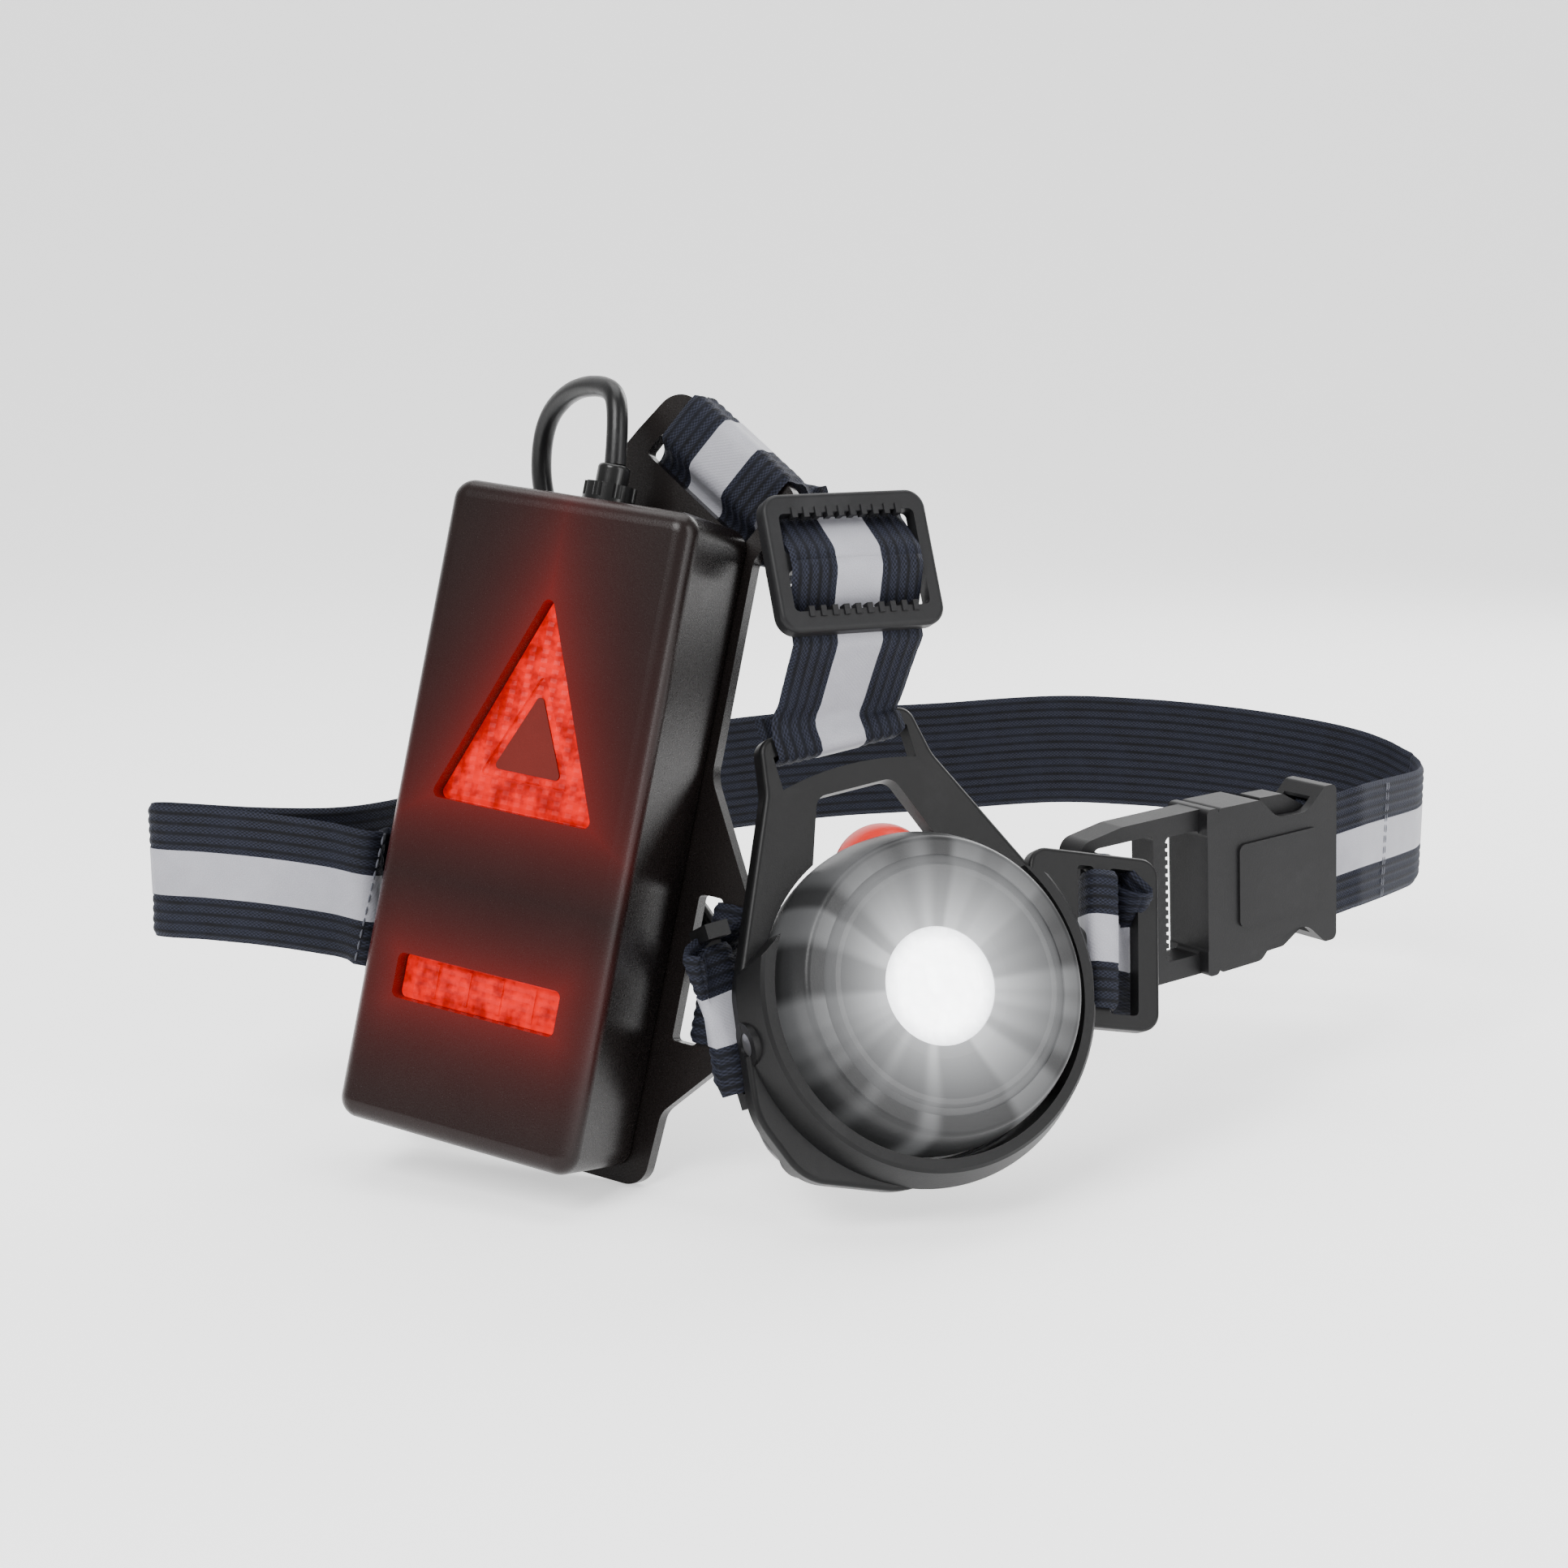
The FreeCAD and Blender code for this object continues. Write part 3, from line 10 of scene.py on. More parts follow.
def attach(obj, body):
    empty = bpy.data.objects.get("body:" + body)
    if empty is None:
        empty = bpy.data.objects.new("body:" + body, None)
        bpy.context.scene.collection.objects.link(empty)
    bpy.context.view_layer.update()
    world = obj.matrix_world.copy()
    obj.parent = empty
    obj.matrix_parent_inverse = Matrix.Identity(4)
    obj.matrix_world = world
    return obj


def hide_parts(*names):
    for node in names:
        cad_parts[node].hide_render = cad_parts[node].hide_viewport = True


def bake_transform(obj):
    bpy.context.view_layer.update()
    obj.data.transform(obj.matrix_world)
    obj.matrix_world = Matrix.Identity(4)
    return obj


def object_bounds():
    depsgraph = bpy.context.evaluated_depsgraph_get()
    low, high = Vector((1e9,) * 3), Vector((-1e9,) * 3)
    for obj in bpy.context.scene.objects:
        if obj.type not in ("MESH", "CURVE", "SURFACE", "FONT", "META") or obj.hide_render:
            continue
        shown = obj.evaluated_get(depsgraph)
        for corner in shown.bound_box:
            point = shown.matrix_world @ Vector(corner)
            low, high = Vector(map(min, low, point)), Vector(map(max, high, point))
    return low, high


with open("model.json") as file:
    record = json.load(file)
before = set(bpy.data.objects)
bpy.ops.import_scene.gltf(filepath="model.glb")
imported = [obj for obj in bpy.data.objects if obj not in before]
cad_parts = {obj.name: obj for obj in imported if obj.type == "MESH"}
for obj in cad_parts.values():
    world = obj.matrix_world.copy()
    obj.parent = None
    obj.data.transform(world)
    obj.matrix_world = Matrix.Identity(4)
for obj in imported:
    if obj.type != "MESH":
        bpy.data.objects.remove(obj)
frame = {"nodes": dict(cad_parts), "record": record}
CAD_LOW, CAD_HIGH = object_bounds()
NODES = frame["nodes"]
SLOT_OF = {s["node"]: s["material_slot"] for s in frame["record"]["subparts"]}
random.seed(7)
MM = 0.001

# The camera comes first.
camera_data = bpy.data.cameras.new("camera")
camera_data.sensor_width = 36.0
camera_data.lens = 56.57
camera = bpy.data.objects.new("camera", camera_data)
camera.location = (-0.015, -0.495, 0.102)
camera.rotation_euler = (math.radians(79.0), 0.0, 0.0)
bpy.context.scene.collection.objects.link(camera)
bpy.context.scene.camera = camera


# ---------------------------------------------------------------- frames of the CAD parts
def pose(yaw, lean, roll, x, y, z):
    turn = Matrix.Rotation(math.radians(yaw), 4, "Z") @ Matrix.Rotation(math.radians(lean), 4, "X")
    turn = turn @ Matrix.Rotation(math.radians(roll), 4, "Y")
    return Matrix.Translation(Vector((x, y, z)) * MM) @ turn


PACK = pose(-24.8, -13.3, 5.9, -62.8, -78.1, 14.5)
LAMP = pose(22.5, -23.0, -9.0, 12.2, -94.5, -10.1)
BUCKLE = pose(34.1, 0.0, -3.4, 64.8, -34.6, -7.5)
GLIDE = pose(25.5, -23.0, -0.3, -3.5, -75.0, 59.0)
UP = Vector((0, 0, 1))


# ---------------------------------------------------------------- node helpers
class Mat:
    """A node material with short calls for the nodes that this scene uses."""

    def __init__(self, name):
        self.mat = bpy.data.materials.new(name)
        self.mat.use_nodes = True
        self.tree = self.mat.node_tree
        self.bsdf = self.tree.nodes["Principled BSDF"]

    def node(self, kind, **values):
        node = self.tree.nodes.new(kind)
        for key, value in values.items():
            if hasattr(node, key):
                setattr(node, key, value)
            else:
                node.inputs[key.replace("_", " ")].default_value = value
        return node

    def link(self, a, b):
        self.tree.links.new(a, b)

    def set(self, **values):
        for key, value in values.items():
            self.bsdf.inputs[key.replace("_", " ")].default_value = value

    def coords(self, kind="Object"):
        return self.node("ShaderNodeTexCoord").outputs[kind]

    def local(self, matrix):
        """Coordinates in the frame of one CAD part, in metres."""
        node = self.node("ShaderNodeMapping", vector_type="TEXTURE")
        node.inputs["Location"].default_value = matrix.to_translation()
        node.inputs["Rotation"].default_value = matrix.to_euler("XYZ")
        self.link(self.coords(), node.inputs["Vector"])
        return node.outputs["Vector"]

    def split(self, vector):
        node = self.node("ShaderNodeSeparateXYZ")
        self.link(vector, node.inputs[0])
        return node.outputs

    def noise(self, vector, scale, detail=4.0, rough=0.55):
        node = self.node("ShaderNodeTexNoise")
        node.inputs["Scale"].default_value = scale
        node.inputs["Detail"].default_value = detail
        node.inputs["Roughness"].default_value = rough
        self.link(vector, node.inputs["Vector"])
        return node.outputs["Fac"]

    def math(self, operation, a, b=None, c=None, clamp=False):
        node = self.node("ShaderNodeMath", operation=operation, use_clamp=clamp)
        for i, value in enumerate((a, b, c)):
            if value is None:
                continue
            if isinstance(value, (int, float)):
                node.inputs[i].default_value = value
            else:
                self.link(value, node.inputs[i])
        return node.outputs[0]

    def ramp(self, value, low, high, out_low=0.0, out_high=1.0, smooth=True):
        node = self.node("ShaderNodeMapRange", interpolation_type="SMOOTHSTEP" if smooth else "LINEAR")
        node.inputs["From Min"].default_value = low
        node.inputs["From Max"].default_value = high
        node.inputs["To Min"].default_value = out_low
        node.inputs["To Max"].default_value = out_high
        self.link(value, node.inputs["Value"])
        return node.outputs["Result"]

    def mix(self, factor, a, b):
        node = self.node("ShaderNodeMix", data_type="RGBA")
        for socket, value in ((node.inputs[0], factor), (node.inputs[6], a), (node.inputs[7], b)):
            if isinstance(value, (int, float)):
                socket.default_value = value
            elif isinstance(value, tuple):
                socket.default_value = (*value, 1.0)
            else:
                self.link(value, socket)
        return node.outputs[2]

    def hypot(self, a, b):
        return self.math("SQRT", self.math("ADD", self.math("MULTIPLY", a, a), self.math("MULTIPLY", b, b)))

    def bump(self, height, distance, strength=1.0, after=None):
        node = self.node("ShaderNodeBump")
        node.inputs["Strength"].default_value = strength
        node.inputs["Distance"].default_value = distance
        self.link(height, node.inputs["Height"])
        if after is not None:
            self.link(after, node.inputs["Normal"])
        return node.outputs["Normal"]

    def to(self, socket, value):
        self.link(value, self.bsdf.inputs[socket])


def plastic(name, dark, light, rough=0.42, grain=0.00003, coat=0.0, specular=0.16):
    """Moulded plastic: a fine spark-eroded grain, faint mottling and rubbed patches."""
    m = Mat(name)
    at = m.coords()
    mottle = m.noise(at, 90.0, 5.0)
    fine = m.noise(at, 3200.0, 3.0)
    rubbed = m.ramp(m.noise(at, 55.0, 6.0, 0.7), 0.56, 0.74)
    worn = m.math("MULTIPLY_ADD", rubbed, 0.35, m.math("MULTIPLY", mottle, 0.65))
    m.to("Base Color", m.mix(worn, dark, light))
    gloss = m.math("MULTIPLY_ADD", fine, 0.10, rough - 0.05)
    m.to("Roughness", m.math("MULTIPLY_ADD", rubbed, -0.06, gloss))
    slow = m.bump(m.noise(at, 260.0, 2.0), grain * 1.5, 0.35)
    m.to("Normal", m.bump(fine, grain, 0.6, slow))
    m.set(Specular_IOR_Level=specular, Coat_Weight=coat, Coat_Roughness=0.25)
    return m


def rubber(name, dark, light, rough=0.6):
    """Rubber with a fine skin and a little dust."""
    m = Mat(name)
    at = m.coords()
    dust = m.ramp(m.noise(at, 160.0, 6.0, 0.65), 0.45, 0.75)
    m.to("Base Color", m.mix(dust, dark, light))
    m.to("Roughness", m.math("MULTIPLY_ADD", dust, 0.18, rough))
    m.to("Normal", m.bump(m.noise(at, 2200.0, 4.0), 0.00004, 0.6))
    m.set(Sheen_Weight=0.02, Sheen_Roughness=0.5, Specular_IOR_Level=0.25)
    return m


def metal(name, colour, rough=0.3):
    """Metal with fine drawn streaks."""
    m = Mat(name)
    node = m.node("ShaderNodeMapping")
    node.inputs["Scale"].default_value = (1.0, 18.0, 1.0)
    m.link(m.coords(), node.inputs["Vector"])
    streak = m.noise(node.outputs["Vector"], 420.0, 4.0)
    m.to("Base Color", m.mix(streak, tuple(c * 0.8 for c in colour), colour))
    m.to("Roughness", m.math("MULTIPLY_ADD", streak, 0.2, rough - 0.08))
    m.to("Normal", m.bump(streak, 0.00003, 0.4))
    m.set(Metallic=1.0)
    return m


def around_shape(m, x, z, half_x, half_z, centre_z):
    """Distance outside a rectangle in the pack's face plane."""
    dx = m.math("MAXIMUM", m.math("SUBTRACT", m.math("ABSOLUTE", x), half_x), 0.0)
    dz = m.math("SUBTRACT", m.math("ABSOLUTE", m.math("SUBTRACT", z, centre_z)), half_z)
    return m.hypot(dx, m.math("MAXIMUM", dz, 0.0))


def around_triangle(m, x, z, half, low, high):
    """Distance outside an upright triangle in the pack's face plane."""
    side = math.hypot(half, high - low)
    across = m.math("MULTIPLY", m.math("ABSOLUTE", x), (high - low) / side)
    down = m.math("MULTIPLY", m.math("SUBTRACT", z, high), half / side)
    slope = m.math("ADD", across, down)
    return m.math("MAXIMUM", m.math("MAXIMUM", slope, m.math("SUBTRACT", low, z)), 0.0)


# The lit shapes on the pack's face, in metres of the pack's frame.
TRIANGLE = (0.0165, 0.0014, 0.0408)     # half width, foot, tip
BAR = (0.0166, 0.004, -0.0306)          # half width, half height, middle


def pack_plastic():
    """The pack's plastic, with painted red light (emission) that spills on its face round the lenses."""
    m = plastic("pack_plastic", (0.0045, 0.0034, 0.0032), (0.0100, 0.0076, 0.0070), 0.28, specular=0.20)
    parts = m.split(m.local(PACK))
    x, y, z = parts[0], parts[1], parts[2]
    lenses = m.math("MINIMUM", around_triangle(m, x, z, *TRIANGLE), around_shape(m, x, z, *BAR))
    fall = m.math("EXPONENT", m.math("MULTIPLY", lenses, -230.0))
    wide = m.math("EXPONENT", m.math("MULTIPLY", lenses, -118.0))
    # glow: painted red light on the plastic round the lenses; the plastic is no lamp.
    glow = m.math("ADD", m.math("MULTIPLY", fall, 0.085), m.math("MULTIPLY", wide, 0.095))
    front = m.ramp(y, 0.0005, 0.0042, 1.0, 0.0)
    m.to("Emission Strength", m.math("MULTIPLY", glow, front))
    m.set(Emission_Color=(1.0, 0.014, 0.006, 1.0))
    return m


def red_lens():
    """A lit red lens: moulded optic steps, brighter before the emitters than between them."""
    m = Mat("red_lens")
    at = m.local(PACK)
    parts = m.split(at)
    clumps = m.ramp(m.noise(at, 210.0, 3.0, 0.6), 0.34, 0.62)
    fine = m.noise(at, 1100.0, 3.0)
    steps = m.math("PINGPONG", m.math("MULTIPLY", parts[2], 1000.0), 0.8)
    facets = m.math("PINGPONG", m.math("MULTIPLY", parts[0], 1000.0), 1.3)
    grid = m.math("MULTIPLY", steps, facets)
    small = m.math("MULTIPLY_ADD", grid, 0.22, m.math("MULTIPLY", fine, 0.35))
    light = m.math("MULTIPLY_ADD", clumps, 0.55, small)
    m.to("Emission Strength", m.math("MULTIPLY_ADD", light, 0.80, 0.16))
    m.set(Emission_Color=(1.0, 0.0, 0.0, 1.0))
    m.to("Base Color", m.mix(light, (0.10, 0.0, 0.0), (0.42, 0.0, 0.0)))
    m.to("Normal", m.bump(m.math("ADD", steps, facets), 0.00025, 0.5))
    m.set(Roughness=0.30, Specular_IOR_Level=0.12)
    return m


def insert_plastic():
    """The dark red insert inside the triangle, with a faint painted red glow."""
    m = plastic("insert_plastic", (0.075, 0.006, 0.004), (0.12, 0.012, 0.008), 0.5)
    # Painted faint glow: emission on the insert plastic.
    m.set(Emission_Color=(1.0, 0.06, 0.03, 1.0), Emission_Strength=0.02)
    return m


def painted_lamp_glow(m, near, far, reach, gain, streaks=0.55):
    """Painted white light (emission) that spreads over the lamp's face from the lens, in soft rays."""
    parts = m.split(m.local(LAMP))
    x, z = parts[0], parts[2]
    radius = m.hypot(x, z)
    angle = m.math("ARCTAN2", z, x)
    ring = m.node("ShaderNodeCombineXYZ")
    m.link(m.math("COSINE", angle), ring.inputs[0])
    m.link(m.math("SINE", angle), ring.inputs[1])
    rays = m.ramp(m.noise(ring.outputs[0], 2.6, 1.0, 0.5), 0.42, 0.60)
    fall = m.math("EXPONENT", m.math("MULTIPLY", m.math("SUBTRACT", radius, near), -1.0 / reach))
    fall = m.math("MULTIPLY", m.math("MINIMUM", fall, 1.0), m.ramp(radius, near, far, 1.0, 0.0))
    light = m.math("MULTIPLY", fall, m.math("MULTIPLY_ADD", rays, streaks, 1.0 - streaks))
    front = m.ramp(parts[1], 0.0085, 0.0160, gain, 0.0)
    # Painted light: emission on the plastic round the lens, fading outwards in rays.
    m.to("Emission Strength", m.math("MULTIPLY", light, front))
    m.set(Emission_Color=(0.96, 0.98, 1.0, 1.0))
    return m


def bezel_plastic():
    m = plastic("bezel_plastic", (0.014, 0.014, 0.0145), (0.024, 0.024, 0.0247), 0.34, specular=0.22)
    # The bezel carries painted white glow from the lens.
    return painted_lamp_glow(m, 0.0100, 0.0360, 0.0100, 1.10, 0.38)


def head_plastic():
    m = plastic("head_plastic", (0.005, 0.005, 0.0053), (0.011, 0.011, 0.0115), 0.36, specular=0.2)
    # The head shell carries a fainter painted white glow from the lens.
    return painted_lamp_glow(m, 0.0205, 0.0370, 0.0085, 0.34, 0.80)


def clear_lens():
    """The lit front lens: white in the middle, with a faint ribbed edge."""
    m = Mat("clear_lens")
    at = m.local(LAMP)
    parts = m.split(at)
    radius = m.hypot(parts[0], parts[2])
    pebble = m.node("ShaderNodeTexVoronoi", feature="F1")
    pebble.inputs["Scale"].default_value = 520.0
    m.link(at, pebble.inputs["Vector"])
    core = m.ramp(radius, 0.0065, 0.0105, 1.0, 0.0)
    light = m.math("MULTIPLY_ADD", core, 3.2, 1.3)
    pebbled = m.math("MULTIPLY_ADD", pebble.outputs["Distance"], -0.25, 1.1)
    m.to("Emission Strength", m.math("MULTIPLY", light, pebbled))
    m.to("Base Color", m.mix(core, (0.75, 0.78, 0.82), (0.95, 0.97, 1.0)))
    m.to("Normal", m.bump(pebble.outputs["Distance"], 0.0002, 0.6))
    m.set(Emission_Color=(0.98, 0.99, 1.0, 1.0), Roughness=0.1, Coat_Weight=0.5)
    return m


def button_rubber():
    m = rubber("button_rubber", (0.62, 0.020, 0.012), (0.70, 0.030, 0.018), 0.34)
    m.set(Subsurface_Weight=0.12, Subsurface_Scale=0.002, Coat_Weight=0.25, Coat_Roughness=0.3)
    return m


# Spacing of the webbing's threads and half that of its cords; 1.0 is 10 mm of webbing.
PICK, END, LANE = 0.085, 0.060, 0.0935


def webbing():
    """Elastic webbing: navy rubber cords under a dark knitted cover, with painted shade in the grooves between
    the cords.
    """
    m = Mat("webbing")
    at = m.coords("UV")
    parts = m.split(at)
    picks = m.math("SINE", m.math("MULTIPLY", parts[1], 2 * math.pi / PICK))
    ends = m.math("SINE", m.math("MULTIPLY", parts[0], 2 * math.pi / END))
    knit = m.math("MULTIPLY_ADD", m.math("MULTIPLY", picks, ends), 0.5, 0.5)
    fuzz = m.noise(at, 26.0, 6.0, 0.7)
    tone = m.noise(at, 1.6, 4.0, 0.6)
    thread = m.ramp(m.math("MULTIPLY_ADD", fuzz, 0.6, m.math("MULTIPLY", knit, 0.4)), 0.30, 0.72)
    # groove: dark stripes across the webbing, painted shade between the cords.
    lane = m.math("PINGPONG", m.math("ABSOLUTE", parts[0]), LANE)
    groove = m.ramp(lane, 0.010, 0.055)
    ground = m.mix(m.ramp(tone, 0.35, 0.65), (0.0018, 0.0019, 0.0030), (0.0034, 0.0040, 0.0072))
    m.to("Base Color", m.mix(m.math("MULTIPLY", thread, groove), ground, (0.0175, 0.0200, 0.0330)))
    m.to("Roughness", m.math("MULTIPLY_ADD", fuzz, 0.2, 0.62))
    weave = m.bump(knit, 0.00012, 0.7)
    m.to("Normal", m.bump(fuzz, 0.00010, 0.6, weave))
    m.set(Sheen_Weight=0.03, Sheen_Roughness=0.4, Sheen_Tint=(0.6, 0.65, 0.95, 1.0))
    m.set(Specular_IOR_Level=0.15)
    return m


def reflective():
    """Silver glass-bead tape over a pale grey cloth, with painted sparkle from the beads and painted shade of
    the folds in its colour.
    """
    m = Mat("reflective_tape")
    at = m.coords("UV")
    parts = m.split(at)
    beads = m.noise(at, 60.0, 2.0, 0.8)
    folds = m.noise(at, 1.3, 5.0, 0.6)
    cross = m.math("SINE", m.math("MULTIPLY", m.math("ADD", parts[0], parts[1]), 2 * math.pi / 0.07))
    # shade: painted sparkle (lighter bead specks) and painted fold shade mixed into the colour.
    shade = m.math("MULTIPLY_ADD", m.ramp(beads, 0.35, 0.7), 0.45, m.math("MULTIPLY", folds, 0.6))
    m.to("Base Color", m.mix(shade, (0.20, 0.20, 0.225), (0.37, 0.37, 0.405)))
    m.to("Roughness", m.math("MULTIPLY_ADD", beads, 0.3, 0.30))
    fine = m.bump(m.math("MULTIPLY_ADD", cross, 0.2, beads), 0.00008, 0.6)
    m.to("Normal", m.bump(folds, 0.0006, 0.25, fine))
    m.set(Specular_IOR_Level=0.3)
    return m


def thread():
    m = Mat("thread")
    at = m.coords()
    twist = m.noise(at, 5200.0, 2.0)
    m.to("Base Color", m.mix(twist, (0.02, 0.022, 0.032), (0.07, 0.075, 0.10)))
    m.to("Normal", m.bump(twist, 0.00008, 0.8))
    m.set(Roughness=0.6, Sheen_Weight=0.4)
    return m


def board():
    m = Mat("circuit_board")
    at = m.coords()
    tracks = m.node("ShaderNodeTexBrick")
    tracks.inputs["Scale"].default_value = 160.0
    m.link(at, tracks.inputs["Vector"])
    m.to("Base Color", m.mix(tracks.outputs["Fac"], (0.01, 0.11, 0.035), (0.05, 0.22, 0.08)))
    m.to("Normal", m.bump(tracks.outputs["Fac"], 0.00008, 0.5))
    m.set(Roughness=0.3, Coat_Weight=0.4)
    return m


def lit_package():
    m = Mat("led_package")
    at = m.coords()
    m.to("Base Color", m.mix(m.noise(at, 900.0, 2.0), (0.8, 0.72, 0.4), (0.95, 0.93, 0.85)))
    m.set(Roughness=0.3)
    return m


def foam(name, colour):
    m = Mat(name)
    at = m.coords()
    cells = m.node("ShaderNodeTexVoronoi", feature="F1")
    cells.inputs["Scale"].default_value = 1100.0
    m.link(at, cells.inputs["Vector"])
    m.to("Base Color", m.mix(cells.outputs["Distance"], tuple(c * 0.6 for c in colour), colour))
    m.to("Normal", m.bump(cells.outputs["Distance"], 0.0003, 0.7))
    m.set(Roughness=0.85, Sheen_Weight=0.3)
    return m


BLACK, GREY = (0.0038, 0.0038, 0.0040), (0.0090, 0.0090, 0.0094)
MATERIALS = {
    "pack_plastic": pack_plastic(),
    "plate_plastic": plastic("plate_plastic", BLACK, GREY, 0.40),
    "head_plastic": head_plastic(),
    "bezel_plastic": bezel_plastic(),
    "insert_plastic": insert_plastic(),
    "gland_plastic": plastic("gland_plastic", (0.005,) * 3, (0.011,) * 3, 0.22, coat=0.25),
    "buckle_plastic": plastic("buckle_plastic", (0.0065, 0.0065, 0.0069), (0.0150, 0.0150, 0.0160),
                              0.42, 0.00004),
    "switch_plastic": plastic("switch_plastic", (0.03, 0.03, 0.03), (0.06, 0.06, 0.06)),
    "red_lens": red_lens(),
    "clear_lens": clear_lens(),
    "button_rubber": button_rubber(),
    "seal_rubber": rubber("seal_rubber", (0.010, 0.010, 0.010), (0.028, 0.028, 0.028)),
    "circuit_board": board(),
    "led_package": lit_package(),
    "cell_foil": metal("cell_foil", (0.6, 0.62, 0.65), 0.35),
    "foam": foam("foam", (0.09, 0.09, 0.09)),
    "pad_foam": foam("pad_foam", (0.035, 0.035, 0.040)),
    "port_steel": metal("port_steel", (0.7, 0.7, 0.72), 0.25),
    "screw_steel": metal("screw_steel", (0.42, 0.42, 0.44), 0.32),
    "reflector_chrome": metal("reflector_chrome", (0.9, 0.9, 0.92), 0.1),
    "board_aluminium": metal("board_aluminium", (0.75, 0.75, 0.77), 0.35),
    "webbing": webbing(),
    "lead_jacket": rubber("lead_jacket", (0.004, 0.004, 0.0042), (0.009, 0.009, 0.0095), 0.30),
}
TAPE = reflective()
THREAD = thread()

for name, node in NODES.items():
    node.data.materials.clear()
    node.data.materials.append(MATERIALS[SLOT_OF[name]].mat)


# ---------------------------------------------------------------- paths of the webbing
WEB_W, WEB_T = 25.0, 1.4
HALF_T = WEB_T / 2
TOUCH = HALF_T + 0.15
PACK_SIDE = 48.8 / 2 + 1.6 + 11.6       # outer edge of the pack's side ears
CARRIER_Y, CARRIER_BACK = 22.6, 25.6
EAR_Z = -20.0
PLATE_Y, PLATE_BACK = 11.0, 14.5
GLIDE_H, GLIDE_END, GLIDE_MID, GLIDE_HALF = 24.4, 3.6, 1.4, 1.5
JOIN = (123.6, 41.0, -7.6)              # where the belt's end piece begins, in millimetres
JOIN_POINT = (0.1236, 0.041, -0.0076)   # the same place in metres


def hug(corner, first, last):
    """(x, y) points that take the webbing round one corner of a bar."""
    points = []
    for i in range(4):
        angle = math.radians(first + (last - first) * i / 3)
        points.append((corner[0] + TOUCH * math.cos(angle), corner[1] + TOUCH * math.sin(angle)))
    return points


def level(place, points, z):
    """Stations (centre, width direction) at one height of a part's frame."""
    across = place.to_3x3() @ UP
    return [(place @ (Vector((x, y, z)) * MM), across) for x, y in points]


def climbing(place, points):
    across = place.to_3x3() @ Vector((1, 0, 0))
    return [(place @ (Vector((0, y, z)) * MM), across) for z, y in points]


def rows(points):
    return [(Vector(p) * MM, UP.copy()) for p in points]


def side_ear_loop(side):
    """Points round the bar of the pack's left (-1) or right (1) ear."""
    outer = side * PACK_SIDE
    inner = outer - side * 4.8
    if side > 0:
        turns = hug((inner, CARRIER_BACK), 90, 180) + hug((inner, CARRIER_Y), 180, 270)
    else:
        turns = hug((inner, CARRIER_BACK), 90, 0) + hug((inner, CARRIER_Y), 0, -90)
    return [(outer - side * 0.6, CARRIER_BACK + TOUCH)] + turns + [(outer, CARRIER_Y - TOUCH)]


BELT = level(PACK, side_ear_loop(-1), EAR_Z) + rows([
    (-90.2, -56.5, -4.6), (-98, -55.2, -3.2), (-110, -53.6, -1.8), (-122, -52.4, -0.9), (-128.6, -51.6, -0.7),
    (-131.4, -49.9, -0.8), (-131.6, -47.6, -1.0), (-128.8, -46.0, -1.3),
    (-112, -44.2, -2.6), (-98, -39.5, -3.4), (-86, -27.5, -3.4), (-74, -9, -3.0), (-60, 13, -2.2),
    (-42, 34, -1.2), (-25.7, 46, -0.7), (-4, 55.5, -0.1), (19.2, 61, 0.2), (47.5, 64.6, 1.4), (68, 64.8, 0.6),
    (84.9, 62.8, -0.7), (101, 59.5, -2.6), (113, 55.5, -4.6), (120, 49.5, -6.4), JOIN])


def belt_end_path():
    loop = [(44.0, 0.0), (38.0, -0.9)]
    for i in range(7):
        angle = math.radians(-80 - 200 * i / 6)
        loop.append((28.9 + 2.15 * math.cos(angle), 2.15 * math.sin(angle)))
    loop.append((34.0, 1.0))
    way = rows([JOIN, (123.4, 32.0, -7.9), (121.6, 25.0, -7.8), (118.2, 17.5, -7.4)])
    return way + level(BUCKLE, loop, 0)


def link_path():
    near, far, low_y = -33.9, -29.7, PLATE_BACK + 3.1
    hook = [(near - 2.4, low_y - TOUCH + 0.3)] + hug((far, low_y), -90, 0) + hug((far, low_y + 2.8), 0, 90)
    hook.append((near - 1.0, low_y + 2.8 + TOUCH))
    return level(PACK, side_ear_loop(1), EAR_Z) + level(LAMP, hook, 5.5)


def buckle_path():
    right = 7.6 - 4.4 - 5.8
    left = right - 3.0
    ear = [(right + 0.6, PLATE_BACK + TOUCH)] + hug((left, PLATE_BACK), 90, 180) + hug((left, PLATE_Y), 180, 270)
    ear += hug((right, PLATE_Y), -90, -20)
    ear += [(right + 3.2, PLATE_BACK + 1.3), (4.2, PLATE_BACK + 2.4)]
    slant = math.radians(20.0)
    across = LAMP.to_3x3() @ Vector((math.sin(slant), 0, math.cos(slant)))
    stations = []
    for x, y in ear:
        point = Vector((41.6 + x * math.cos(slant), y, -1.5 - x * math.sin(slant))) * MM
        stations.append((LAMP @ point, across))
    bar = -32.4 + 3.3
    hold = [(bar + 1.4, -6.6)] + hug((bar, -3.0), -40, 0) + hug((bar, 3.0), 0, 90) + [(-32.0, 3.0 + TOUCH)]
    return stations + level(BUCKLE, hold, 0)


def glide_half(side):
    end_bar = GLIDE_H / 2 - GLIDE_END
    run = math.hypot(end_bar - GLIDE_MID, 2 * GLIDE_HALF)
    lift = math.degrees(math.asin(2 * TOUCH / run) + math.atan2(2 * GLIDE_HALF, end_bar - GLIDE_MID))
    points = [(0, -GLIDE_HALF - TOUCH)] + hug((GLIDE_MID, -GLIDE_HALF), -90, -90 + lift)
    points += hug((end_bar, GLIDE_HALF), 90 + lift, 90)
    return [(side * z, y) for z, y in points]


